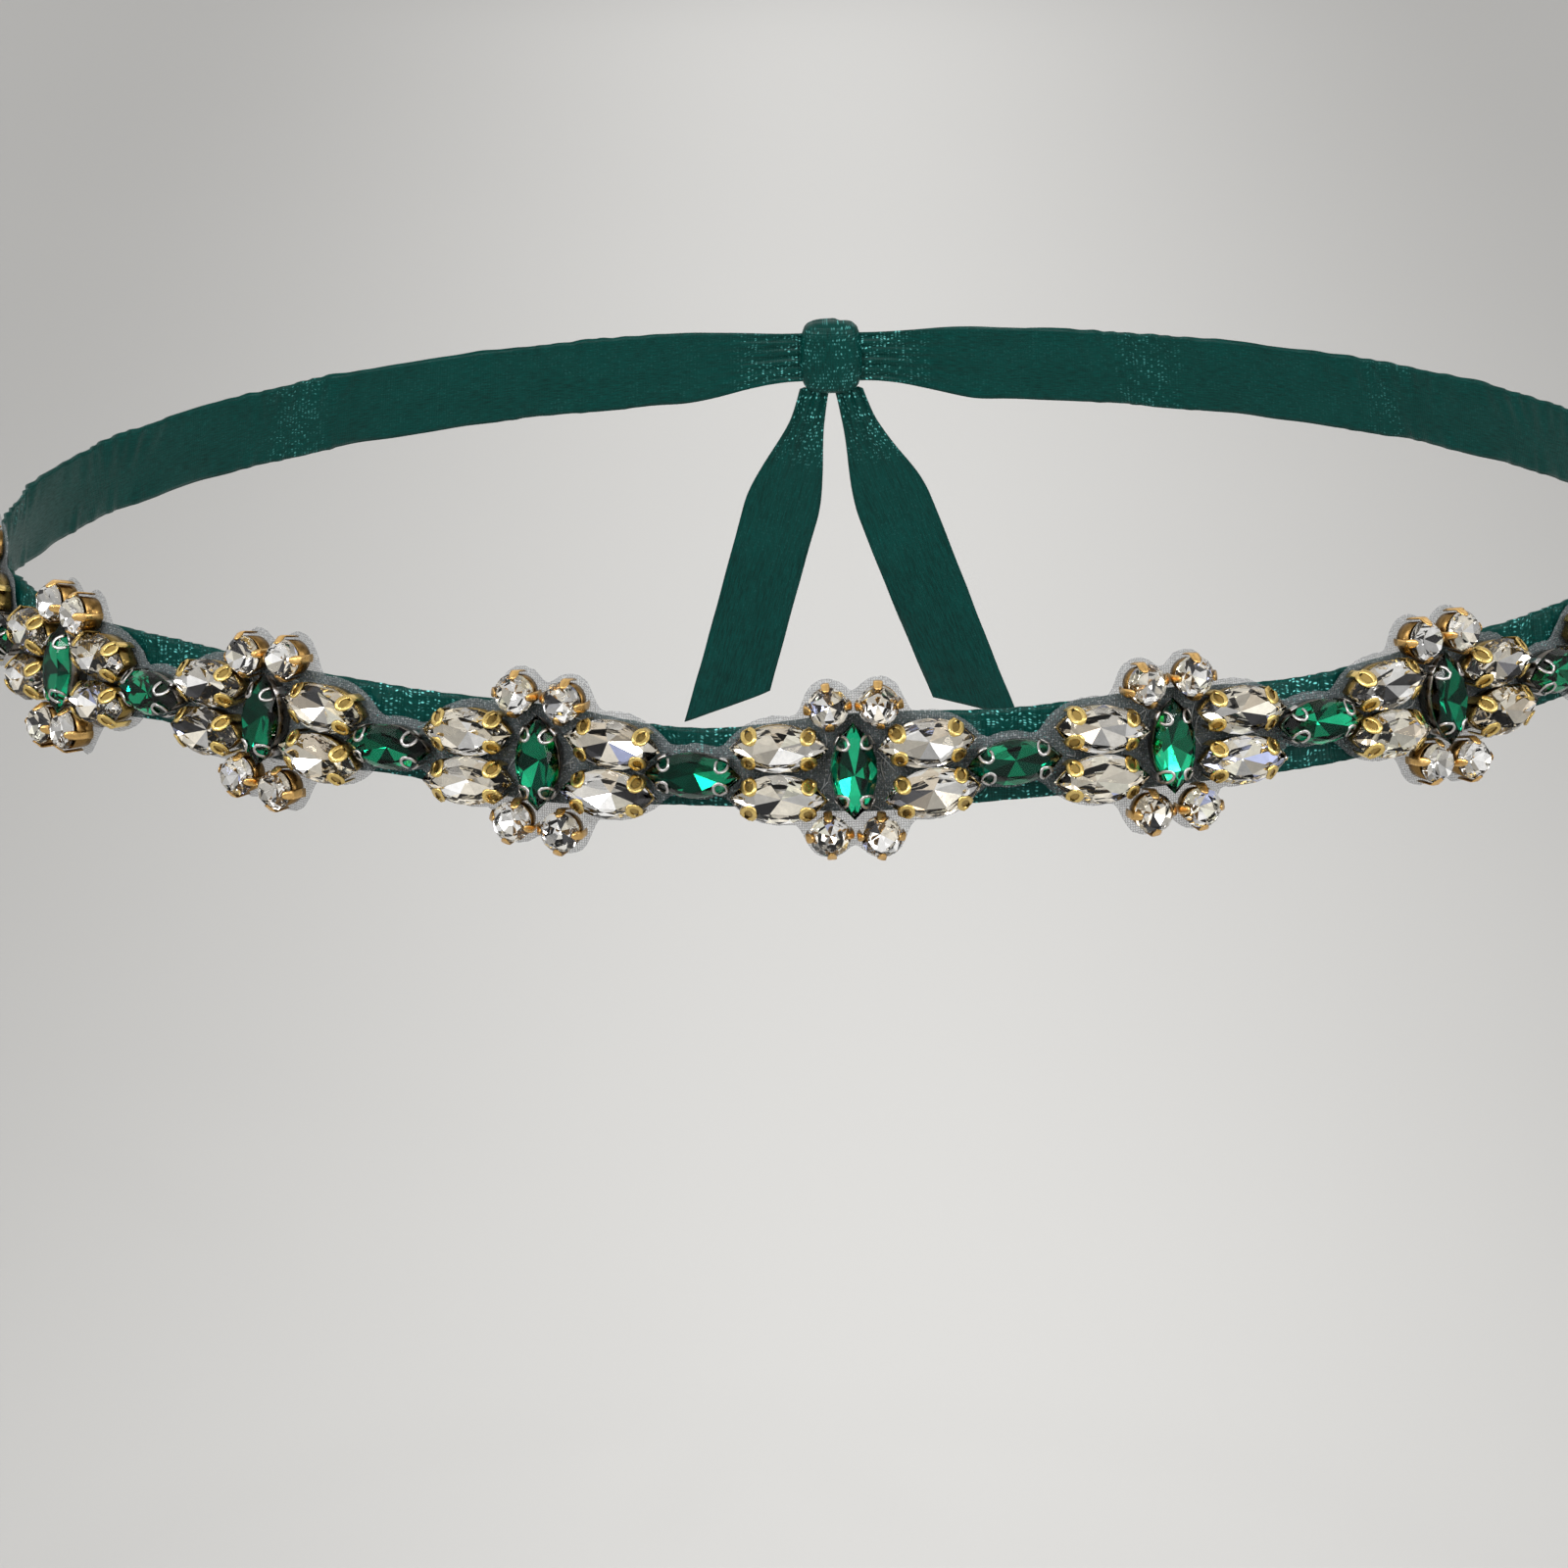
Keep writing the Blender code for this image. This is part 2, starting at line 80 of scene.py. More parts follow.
LEAST_STAND_OFF = 0.2 * MM

# Places of the stones
PITCH = 47.6 * MM
SEAT = 2.6 * MM
CLEAR_PAIR_ALONG = 11.1 * MM
CLEAR_SPACING = 7.7 * MM
ROUND_PAIR_UP = 9.9 * MM
ROUND_SPACING = 7.8 * MM
# Furthest that a round stone is turned in its cup, in degrees
ROUND_SPIN = 9
ROUND_SPIN_SEED = 11

# Rise of the band's centre line, and its edges' distances from it, in millimetres, at every half of
# a cluster spacing from five spacings left of the middle
BAND_FIRST = -5.0
BAND_STEP = 0.5
BAND_RISE = (
    0, 0, -0.6, -0.9, -0.3, 0.9, 1.0, -0.1, -0.3, -1.1, -0.5,
    -0.2, 0.2, 0.7, 0.2, -0.5, 0.1, 0.5, 0.2, 0, 0,
)
BAND_UPPER = (
    7.5, 7.4, 8.2, 8.0, 8.2, 8.5, 8.2, 8.7, 8.2, 6.5, 8.2,
    7.7, 8.2, 6.5, 8.2, 9.0, 8.2, 7.6, 8.2, 7.4, 7.5,
)
BAND_LOWER = (
    7.5, 7.3, 6.8, 5.6, 6.8, 5.1, 6.8, 5.1, 6.8, 5.3, 6.8,
    6.4, 6.8, 7.7, 6.8, 5.8, 6.8, 6.0, 6.8, 7.3, 7.5,
)

# Waves of the ribbon's edges: millimetres along the band for each radian, phase, and height as a
# share of the edge wave
UPPER_EDGE_WAVES = ((2.9, 0.6, 0.5), (4.7, 2.1, 0.8), (1.7, 0.0, 0.22))
LOWER_EDGE_WAVES = ((3.3, 1.9, 0.6), (5.4, 0.4, 0.7), (1.9, 1.0, 0.2))

# How each cluster was sewn: shift along the band in millimetres, the turn of each pair and of the
# centre stone in degrees, and the tilts of its clear navettes, left before right and upper two first
Sewn = namedtuple("Sewn", "cluster shift left right above below centre tilts")
CLUSTER_SEWING = [
    Sewn(-4, 0.3, 2.0, -2.0, 4.0, -3.0, 1.0, (3, -4, -1, 2)),
    Sewn(-3, 0.0, 4.0, 1.5, -5.0, 4.0, 1.5, (2, -3, 5, 1)),
    Sewn(-2, 0.4, 0.5, -1.0, 5.0, -6.0, -1.0, (4, -2, 1, -5)),
    Sewn(-1, 0.0, 2.0, -2.0, -4.5, -7.0, 2.0, (1.8, -4.6, 3.3, 0.2)),
    Sewn(0, -0.3, -2.5, 4.5, 1.0, -2.5, -1.0, (-2.5, 3.3, -3.0, 6.5)),
    Sewn(1, 0.0, -4.0, -4.0, 3.0, -1.0, -3.0, (-8.0, -6.0, -2.0, -5.5)),
    Sewn(2, 0.1, 2.0, 3.5, 2.0, -6.0, 0.5, (5, 1, -1, 4)),
    Sewn(3, -0.2, -1.5, 2.5, -3.0, 4.0, 2.0, (-3, 4, 1, 2)),
    Sewn(4, 0.2, 1.5, -3.0, 2.0, -4.0, -1.5, (3, -1, -2, -4)),
]
Link = namedtuple("Link", "place shift turn")
LINK_SEWING = [
    Link(-3.5, -0.5, 2.0),
    Link(-2.5, 0.3, -3.0),
    Link(-1.5, -0.4, 1.5),
    Link(-0.5, -0.3, -1.0),
    Link(0.5, -0.5, 2.5),
    Link(1.5, 0.5, -1.5),
    Link(2.5, 0.5, 1.0),
    Link(3.5, -0.1, -2.0),
]

# Loose ends: side, length and slant of the cut in millimetres, splay in degrees, wave and its turns
Tail = namedtuple("Tail", "side length slant splay wave turns")
TAIL_RIGHT = Tail(-1, 77, 5, 19, 1.4, 2.2)
TAIL_LEFT = Tail(1, 73, 6, 15, 1.6, 1.7)

# Creases of the ribbon. Shift from their place along the band, width and depth are in millimetres,
# edge is 1 for the upper and -1 for the lower, lean is how far the inner end strays along the band
# in millimetres, and length is the share of the half width that the crease runs in from its edge.
Crease = namedtuple("Crease", "shift edge lean width depth length")
LINK_CREASES = [
    Crease(-10.6, 1, 2.2, 1.1, 0.34, 0.72),
    Crease(-6.9, 1, 1.3, 0.8, 0.46, 0.95),
    Crease(-4.6, 1, 0.9, 0.55, 0.30, 0.60),
    Crease(-1.2, 1, -0.4, 0.9, 0.52, 0.88),
    Crease(2.1, 1, -1.1, 0.6, 0.33, 0.55),
    Crease(4.4, 1, -0.9, 0.85, 0.42, 0.82),
    Crease(8.8, 1, -2.0, 1.25, 0.36, 0.66),
    Crease(-8.0, -1, 1.0, 0.8, 0.30, 0.50),
    Crease(-2.7, -1, 0.6, 0.6, 0.38, 0.74),
    Crease(1.4, -1, -0.7, 0.9, 0.26, 0.45),
    Crease(6.2, -1, -1.2, 0.7, 0.34, 0.62),
]
# Puckering of each stretch between two clusters, and of some places behind: its place along the
# band in cluster spacings, how far its creases spread, how deep they are, and which way they face
PUCKER_REACH = 10
LINK_PUCKERS = [
    (-3.5, 1.10, 0.8, 1),
    (-2.5, 0.92, 1.0, -1),
    (-1.5, 1.05, 1.1, 1),
    (-0.5, 1.00, 1.2, 1),
    (0.5, 1.12, 1.1, -1),
    (1.5, 0.90, 1.2, 1),
    (2.5, 1.04, 0.9, -1),
    (3.5, 0.95, 1.0, 1),
    (-4.75, 1.30, 0.7, -1),
    (4.7, 1.25, 0.8, 1),
    (-5.6, 1.55, 0.6, 1),
    (5.75, 1.45, 0.55, -1),
    (-6.7, 1.35, 0.7, -1),
    (6.6, 1.60, 0.65, 1),
    (-7.9, 1.50, 0.6, 1),
    (7.7, 1.30, 0.7, -1),
]

GREEN = "green"
NAVETTE = "navette"
ROUND = "round"

# Form of a cut stone. Shares are of its outline, and depths are below its widest line.
FACETS = 16
CROWN_BEND = 0.56
GIRDLE_DEPTH = 0.14 * MM
PAVILION_SHARE = 0.66
PAVILION_DEPTH = 0.86 * MM
CULET_DEPTH = 1.80 * MM
ROUND_GIRDLE_LIFT = 0.25 * MM
STONE_SEEDS = {GREEN: 21, NAVETTE: 33, ROUND: 47}
# How far a stone leans in its cup, in degrees, and how much a facet's tone varies
LEAN_X, LEAN_Y = 1.6, 1.2
TONE_SPREAD = (0.85, 1.08)

# Form of a cup, with shares of its stone's outline
CUP_RIM_SHARE = 0.955
CUP_BASE_SHARE = 0.84
CUP_FOOT = 0.25 * MM
NAVETTE_RIM_DROP = 0.35 * MM
ROUND_RIM_DROP = 0.7 * MM

# Form of a claw: its section in shares of its width and thickness, how far its ring closes on each
# side, in degrees where no unit is given, its place on the stone, the hollow disc inside a closed
# ring, a sheet in painted shade, whose top and foot are in shares of the claw's thickness, and the
# strap down the cup
CLAW_SECTION = (
    (-0.5, -0.15), (-0.5, 0.25), (-0.22, 0.5), (0.22, 0.5),
    (0.5, 0.25), (0.5, -0.15), (0.22, -0.5), (-0.22, -0.5),
)
# Sides of the claw's section that keep the metal's own colour; the others are in painted shade
CLAW_TOP_SIDES = (1, 2, 3)
OPEN_CLAW = math.radians(140)
GREEN_CLAW_CLOSING = (104, 136)
CLEAR_CLAW_CLOSING = (150, 180)
CLAW_STEPS = 19
CLAW_SWING = 0.10
CLAW_SIZES = (0.92, 1.06)
CLAW_SHOULDER = 0.63
CLAW_INSET = 0.60 * MM
TAB_INSET = 0.10 * MM
HOLLOW_SHARE = 1.25
HOLLOW_TOP = 0.45
HOLLOW_FOOT = 0.05
STRAP_WIDTH = 1.5 * MM
STRAP_OUTSET = 0.06 * MM

# Backing and thread
BACKING_STEP = 0.5 * MM
BACKING_ROWS = 13
BACKING_LEAST_HALF_WIDTH = 3.0 * MM
BACKING_SEED = 5
THREAD_SEED = 63


def colour_setting(name, description, default):
    return FloatVectorProperty(
        name=name, description=description, default=default, size=3, min=0, max=1, subtype="COLOR"
    )


def reflection_tone_setting(name, default):
    return colour_setting(name, "Tone of a foiled facet", default)


def length_setting(name, description, default):
    return FloatProperty(
        name=name, description=description, default=default, min=0, unit="LENGTH", precision=5
    )


def angle_setting(name, description, degrees):
    return FloatProperty(
        name=name, description=description, default=math.radians(degrees), subtype="ANGLE"
    )


def power_setting(name, description, default):
    return FloatProperty(name=name, description=description, default=default, min=0, unit="POWER")


class SashCloth(bpy.types.PropertyGroup):
    """Ribbon, backing and sewing thread"""

    ribbon_thickness: length_setting("Ribbon thickness", "Thickness of the satin", 0.35 * MM)
    ribbon_middle: length_setting("Ribbon stand-off", "Middle of the satin over the body", 0.5 * MM)
    ribbon_tuck: length_setting("Ribbon tuck", "How far the ribbon's ends go into the knot", 2.0 * MM)
    edge_wave: length_setting("Edge wave", "How far the ribbon's edges buckle out of its face", 0.42 * MM)
    ribbon_step: length_setting("Ribbon step", "Distance between the ribbon's cross sections", 0.8 * MM)
    backing_height: length_setting("Backing height", "Middle of the backing over the body", 1.55 * MM)
    backing_thickness: length_setting("Backing thickness", "Thickness of the fine mesh", 0.14 * MM)
    backing_margin: length_setting("Backing margin", "How far it is cut outside the stones", 0.8 * MM)
    thread_radius: length_setting("Thread radius", "Radius of the sewing thread", 0.07 * MM)
    ribbon_colour: colour_setting("Satin", "Colour of the satin", (0.0006, 0.052, 0.044))
    # Painted shade: the satin is darkened to this colour in streaks where its threads dip
    ribbon_dip_shade: colour_setting("Satin shade", "Colour where its threads dip", (0.0003, 0.022, 0.018))
    # Painted highlight: bright dashes mixed into the satin's colour where its threads catch light
    ribbon_painted_glint: colour_setting("Satin glint", "Colour of threads that catch light", (0.22, 0.84, 0.80))
    backing_colour: colour_setting("Backing", "Colour of the fine mesh", (0.20, 0.22, 0.235))
    # Painted highlight: specks of this colour where the mesh's threads catch light
    backing_painted_glint: colour_setting("Backing speck", "Colour of its brightest threads", (0.55, 0.58, 0.60))
    thread_colour: colour_setting("Thread", "Colour of the sewing thread", (0.50, 0.52, 0.52))


class SashStones(bpy.types.PropertyGroup):
    """Sizes of the cut stones and the tones of their foiled facets"""

    clear_half_length: length_setting("Clear half length", "Half length of a clear navette", 7.55 * MM)
    clear_half_width: length_setting("Clear half width", "Half width of a clear navette", 3.8 * MM)
    green_half_length: length_setting("Green half length", "Half length of a green navette", 7.45 * MM)
    green_half_width: length_setting("Green half width", "Half width of a green navette", 3.55 * MM)
    round_radius: length_setting("Round radius", "Radius of a round stone", 3.15 * MM)
    navette_height: length_setting("Navette height", "Height of a navette's table over its seat", 4.5 * MM)
    round_height: length_setting("Round height", "Height of a round stone's table over its seat", 4.6 * MM)
    girdle_height: length_setting("Girdle height", "Height of its widest line over its seat", 2.75 * MM)
    table_share: FloatProperty(
        name="Table share",
        description="Table's size as a share of the stone's",
        default=0.70,
        min=0.3,
        max=0.8,
        subtype="FACTOR",
    )
    # Foil tones are painted reflections: each foiled facet takes one for the light it mirrors, and violet
    # is a painted flash of colour
    ivory: reflection_tone_setting("Ivory", (1.0, 0.94, 0.82))
    champagne: reflection_tone_setting("Champagne", (0.88, 0.78, 0.64))
    white: reflection_tone_setting("White", (1.0, 1.0, 1.0))
    grey: reflection_tone_setting("Grey", (0.70, 0.68, 0.64))
    dark: reflection_tone_setting("Dark", (0.06, 0.06, 0.065))
    violet: reflection_tone_setting("Violet", (0.56, 0.62, 0.92))
    green_bright: reflection_tone_setting("Bright green", (0.03, 0.56, 0.31))
    green_middle: reflection_tone_setting("Middle green", (0.004, 0.20, 0.11))
    green_dark: reflection_tone_setting("Dark green", (0.001, 0.042, 0.028))


class SashMetal(bpy.types.PropertyGroup):
    """Cups, claws and their metals"""

    cup_base: length_setting("Cup base", "Underside of the cups over the body", 1.75 * MM)
    cup_wall: length_setting("Cup wall", "Thickness of a cup's wall", 0.22 * MM)
    claw_reach: length_setting("Claw reach", "Outer radius of a navette's claw loop", 1.30 * MM)
    claw_hole: length_setting("Claw hole", "Radius of the hole in a navette's claw loop", 0.54 * MM)
    silver_reach: length_setting("Silver claw reach", "Outer radius of a green one's loop", 1.18 * MM)
    silver_hole: length_setting("Silver claw hole", "Radius of the hole in its claw loop", 0.70 * MM)
    tab_reach: length_setting("Tab reach", "Outer radius of a round stone's tab", 0.70 * MM)
    claw_thickness: length_setting("Claw thickness", "Thickness of the claw strap", 0.34 * MM)
    gold: colour_setting("Gold", "Colour of the navettes' cups", (0.80, 0.585, 0.20))
    warm_gold: colour_setting("Warm gold", "Colour of the round stones' cups", (0.80, 0.50, 0.18))
    silver: colour_setting("Silver", "Colour of the green stones' cups", (0.56, 0.54, 0.53))
    # Painted shade: this tint darkens the whole cups, and in multiples the claws' sides and the hollow
    # discs in their rings
    shade: colour_setting("Shade", "Tint of the metal deep between the claws", (0.27, 0.25, 0.22))


class SashStage(bpy.types.PropertyGroup):
    """Floor, light and camera"""

    floor_drop: length_setting("Floor drop", "Height of the waist loop over the floor", 0.42)
    floor_reach: length_setting("Floor reach", "Half width of the floor", 9.0)
    floor_colour: colour_setting("Floor", "Colour of the floor", (0.535, 0.530, 0.518))
    camera_distance: length_setting("Camera distance", "From the camera to the sash's front", 0.85)
    camera_height: angle_setting("Camera elevation", "Angle of the camera above the horizon", 17.966)
    camera_roll: angle_setting("Camera roll", "Turn of the camera about its view", -1.237)
    lens: FloatProperty(
        name="Lens", description="Focal length in millimetres on a 36 mm sensor", default=128.43, min=1
    )
    key_power: power_setting("Key light", "Power of the key light in watts", 6.0)
    fill_power: power_setting("Fill light", "Power of the fill light in watts", 2.5)
    top_power: power_setting("Top light", "Power of the light over the floor in watts", 1.9)
    sparkle_power: power_setting("Sparkle lights", "Power of each small light in watts", 0.8)
    room_strength: FloatProperty(
        name="Room light", description="Strength of the light from all sides", default=0.72, min=0
    )


# Worn form


def arc_table():
    """Angles round the waist from centre front to centre back, and the distance to each."""
    angles = np.linspace(0, math.pi, ARC_STEPS)
    across = WAIST_HALF_WIDTH * np.sin(angles)
    deep = -WAIST_HALF_DEPTH * np.cos(angles)
    steps = np.hypot(np.diff(across), np.diff(deep))
    return angles, np.concatenate([[0], np.cumsum(steps)])


ANGLES, DISTANCES = arc_table()
HALF_ROUND = float(DISTANCES[-1])
RIBBON_END = HALF_ROUND - KNOT_HALF_WIDTH - SEAM_GAP


def smooth_step(share):
    """A rise from 0 to 1 that starts and ends softly."""
    share = np.clip(share, 0, 1)
    return share * share * (3 - 2 * share)


def band_value(along, column):
    """A column of the band's table, in metres, on a smooth curve through its rows."""
    rows = np.array(column, float)
    place = np.clip((np.asarray(along, float) / PITCH - BAND_FIRST) / BAND_STEP, 0, len(rows) - 1.000001)
    first = place.astype(int)
    share = place - first
    before, start, end, beyond = (rows[np.clip(first + i, 0, len(rows) - 1)] for i in (-1, 0, 1, 2))
    square = share * share
    cube = square * share
    value = (
        (2 * cube - 3 * square + 1) * start
        + (cube - 2 * square + share) * (end - before) / 2
        + (3 * square - 2 * cube) * end
        + (cube - square) * (beyond - start) / 2
    )
    return value * MM


def band_axes(along):
    """Origins and axes at distances along the waist: along the band, up it and out of it."""
    along = np.asarray(along, float)
    angle = np.copysign(np.interp(np.abs(along), DISTANCES, ANGLES), along)
    zero = np.zeros_like(angle)
    centre = np.stack([WAIST_HALF_WIDTH * np.sin(angle), -WAIST_HALF_DEPTH * np.cos(angle), zero], -1)
    forward = np.stack([WAIST_HALF_WIDTH * np.cos(angle), WAIST_HALF_DEPTH * np.sin(angle), zero], -1)
    forward /= np.linalg.norm(forward, axis=-1, keepdims=True)
    level = np.stack([forward[..., 1], -forward[..., 0], zero], -1)
    high = np.array([0.0, 0.0, 1.0])
    out = level * math.cos(FLARE) + high * math.sin(FLARE)
    up = high * math.cos(FLARE) - level * math.sin(FLARE)
    return centre + up * band_value(along, BAND_RISE)[..., None], forward, up, out


def on_band(along, up, out):
    """Points at distances along the band, up it and out of it."""
    origin, _, upward, outward = band_axes(along)
    return origin + upward * np.asarray(up)[..., None] + outward * np.asarray(out)[..., None]


def band_frame(along):
    """Frame at a place on the band: along it, up it and out of it."""
    origin, forward, up, out = band_axes(along)
    placed = Matrix((forward, up, out)).transposed().to_4x4()
    placed.translation = Vector(origin)
    return placed


def band_slope(along):
    """Angle at which the band's centre line rises."""
    step = 1 * MM
    rise = band_value(along + step, BAND_RISE) - band_value(along - step, BAND_RISE)
    return math.atan2(float(rise), 2 * step)


# Stones' seats: kind, seat's place along the band and up it, its turn, offset from it, own tilt
Seat = namedtuple("Seat", "kind along up turn offset tilt")


def sewn_seats():
    """Seats of all the stones: those of each cluster, then the links."""
    chance = np.random.default_rng(ROUND_SPIN_SEED)
    seats = []
    for sewn in CLUSTER_SEWING:
        middle = sewn.cluster * PITCH + sewn.shift * MM
        seats.append(Seat(GREEN, middle, 0, 90 + sewn.centre, (0, 0), 0))
        upper_left, upper_right, lower_left, lower_right = sewn.tilts
        left, right = (upper_left, lower_left), (upper_right, lower_right)
        for aside, turn, tilts in ((-1, sewn.left, left), (1, sewn.right, right)):
            for up, tilt in zip((1, -1), tilts):
                offset = (0, up * CLEAR_SPACING / 2)
                seats.append(Seat(NAVETTE, middle + aside * CLEAR_PAIR_ALONG, 0, turn, offset, tilt - turn))
        for up, turn in ((1, sewn.above), (-1, sewn.below)):
            for side in (-1, 1):
                offset = (side * ROUND_SPACING / 2, 0)
                spin = float(chance.uniform(-ROUND_SPIN, ROUND_SPIN))
                seats.append(Seat(ROUND, middle, up * ROUND_PAIR_UP, turn, offset, spin))
    for link in LINK_SEWING:
        seats.append(Seat(GREEN, link.place * PITCH + link.shift * MM, 0, link.turn, (0, 0), 0))
    return seats


def seat_matrix(seat):
    """Frame of one stone on its seat."""
    spin = Matrix.Rotation(math.radians(seat.turn) + band_slope(seat.along), 4, "Z")
    aside, up = seat.offset
    own = Matrix.Translation((aside, up, 0)) @ Matrix.Rotation(math.radians(seat.tilt), 4, "Z")
    return band_frame(seat.along) @ Matrix.Translation((0, seat.up, SEAT)) @ spin @ own


def lens_outline(half_length, half_width, count):
    """Points round a navette outline, which is two equal arcs, from the tip at +X and anticlockwise."""
    radius = (half_length**2 + half_width**2) / (2 * half_width)
    widest = math.asin(half_length / radius)
    angles = widest * (1 - np.arange(count // 2) / (count / 4))
    upper = np.stack([radius * np.sin(angles), radius * np.cos(angles) - (radius - half_width)], -1)
    return np.concatenate([upper, -upper])


def round_outline(radius, count):
    """Points round a circle, anticlockwise from +X."""
    angles = 2 * math.pi * np.arange(count) / count
    return np.stack([radius * np.cos(angles), radius * np.sin(angles)], -1)


def stone_outline(kind, stones, count=FACETS):
    """Points round the outline of one kind of stone."""
    if kind == ROUND:
        return round_outline(stones.round_radius, count)
    half = (stones.clear_half_length, stones.clear_half_width)
    if kind == GREEN:
        half = (stones.green_half_length, stones.green_half_width)
    return lens_outline(half[0], half[1], count)


def stone_levels(kind, stones):
    """Heights of a stone's table and of its widest line over its seat."""
    if kind == ROUND:
        return stones.round_height, stones.girdle_height + ROUND_GIRDLE_LIFT
    return stones.navette_height, stones.girdle_height


# Meshes


class Gathering:
    """Faces of many like small parts, to be joined into one mesh."""

    def __init__(self):
        self.points = []
        self.faces = []
        self.slots = []
        self.tints = []
        self.count = 0

    def add(self, points, faces, slots=None, tints=None):
        self.points.append(np.asarray(points, float))
        self.faces.extend(tuple(i + self.count for i in face) for face in faces)
        self.slots.extend(slots if slots is not None else [0] * len(faces))
        self.tints.extend(tints if tints is not None else [(1, 1, 1)] * len(faces))
        self.count += len(points)

    def piece(self, name, materials, smooth=False):
        points = np.concatenate(self.points)
        mesh = bpy.data.meshes.new(name)
        mesh.from_pydata(points.tolist(), [], self.faces)
        for material in materials:
            mesh.materials.append(material)
        mesh.polygons.foreach_set("material_index", self.slots)
        mesh.polygons.foreach_set("use_smooth", [smooth] * len(self.faces))
        tint = mesh.attributes.new("tint", "FLOAT_COLOR", "FACE")
        colours = np.ones((len(self.faces), 4), np.float32)
        colours[:, :3] = self.tints
        tint.data.foreach_set("color", colours.ravel())
        mesh.validate()
        mesh.update()
        return link_piece(name, mesh)


def link_piece(name, mesh):
    obj = bpy.data.objects.new(name, mesh)
    bpy.context.scene.collection.objects.link(obj)
    return obj


def moved(points, matrix):
    """Points turned and shifted by a matrix."""
    points = np.asarray(points, float)
    turn = np.array(matrix.to_3x3())
    return points @ turn.T + np.array(matrix.translation)


def outward(points, faces, middle):
    """The faces of a form that bulges round its middle, each turned so that it faces out."""
    turned = []
    for face in faces:
        corners = points[list(face)]
        normal = np.zeros(3)
        for a, b in zip(corners, np.roll(corners, -1, axis=0)):
            normal += np.cross(a - middle, b - middle)
        turned.append(face if normal @ (corners.mean(0) - middle) > 0 else face[::-1])
    return turned


def grid_faces(rows, columns):
    """Faces of a sheet on a grid of points."""
    first = np.arange(rows - 1)[:, None] * columns + np.arange(columns - 1)[None, :]
    return np.stack([first, first + columns, first + columns + 1, first + 1], -1).reshape(-1, 4)


def tube_faces(rings, sides, clockwise=False):
    """Faces of a tube of rings, with its first and last end after its wall.

    The points of each ring run anticlockwise as seen from the last ring, or else clockwise.
    """
    faces = []
    for i in range(rings - 1):
        for j in range(sides):
            here, after = i * sides + j, i * sides + (j + 1) % sides
            face = (here, after, after + sides, here + sides)
            faces.append((face[0], *face[:0:-1]) if clockwise else face)
    first, last = tuple(range(sides)), tuple(range((rings - 1) * sides, rings * sides))
    ends = (first, last[::-1]) if clockwise else (first[::-1], last)
    return faces + list(ends)


def cloth_mesh(name, points, faces, place, pinch, material):
    """A cloth mesh that keeps each point's place in the flat cloth, for its weave."""
    mesh = bpy.data.meshes.new(name)
    mesh.from_pydata(points.reshape(-1, 3).tolist(), [], faces)
    mesh.materials.append(material)
    flat = mesh.attributes.new("cloth_place", "FLOAT_VECTOR", "POINT")
    flat.data.foreach_set("vector", np.asarray(place, np.float32).reshape(-1))
    drawn = mesh.attributes.new("pinch", "FLOAT", "POINT")
    drawn.data.foreach_set("value", np.asarray(pinch, np.float32).reshape(-1))
    mesh.shade_smooth()
    return link_piece(name, mesh)


def cloth_piece(name, grid, place, pinch, material, thickness):
    """A cloth sheet on a grid of points, given a thickness."""
    rows, columns = grid.shape[:2]
    obj = cloth_mesh(name, grid, grid_faces(rows, columns).tolist(), place, pinch, material)
    wall = obj.modifiers.new("thickness", "SOLIDIFY")
    wall.thickness = thickness
    wall.offset = 0
    return obj


def finish_piece(obj, nodes=()):
    """Give the piece its body, and hide the solids that it replaces."""
    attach(obj, "root")
    if nodes:
        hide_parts(*nodes)
    return obj


# Cloth forms


def gather(along):
    """How far the ribbon is gathered towards the knot, from 0 to 1."""
    return smooth_step(1 - (RIBBON_END - np.abs(along)) / GATHER_LENGTH)


def crease_depth(along, across):
    """How far the creases and puckers lift or sink the ribbon, and how hard it is pinched there."""
    lift = np.zeros(np.broadcast(along, across).shape)
    pinch = np.zeros_like(lift)
    edge_gap = {1: 1 - across, -1: 1 + across}
    for place, spread, deep, facing in LINK_PUCKERS:
        from_place = along / MM - place * PITCH / MM
        near = np.exp(-((from_place / (PUCKER_REACH * spread)) ** 2))
        pinch = np.maximum(pinch, near * min(deep, 1) ** 2)
        for crease in LINK_CREASES:
            inward = edge_gap[crease.edge]
            middle = facing * spread * (crease.shift + crease.lean * inward)
            x = (from_place - middle) / (crease.width * spread)
            fold = -np.exp(-x * x) + 0.6 * np.exp(-((np.abs(x) - 1.7) ** 2))
            fade = smooth_step((crease.length * 1.3 - inward) / (crease.length * 0.9))
            lift += crease.depth * deep * MM * fold * fade
    return lift, pinch


def wave_sum(x, waves):
    return sum(np.sin(x / length + phase) * height for length, phase, height in waves)


def edge_ripple(along, across, wave):
    """Soft buckling of the two edges, of uneven length."""
    x = along / MM
    weight = np.abs(across) ** 3
    return wave * weight * np.where(
        across > 0, wave_sum(x, UPPER_EDGE_WAVES), wave_sum(x, LOWER_EDGE_WAVES)
    )


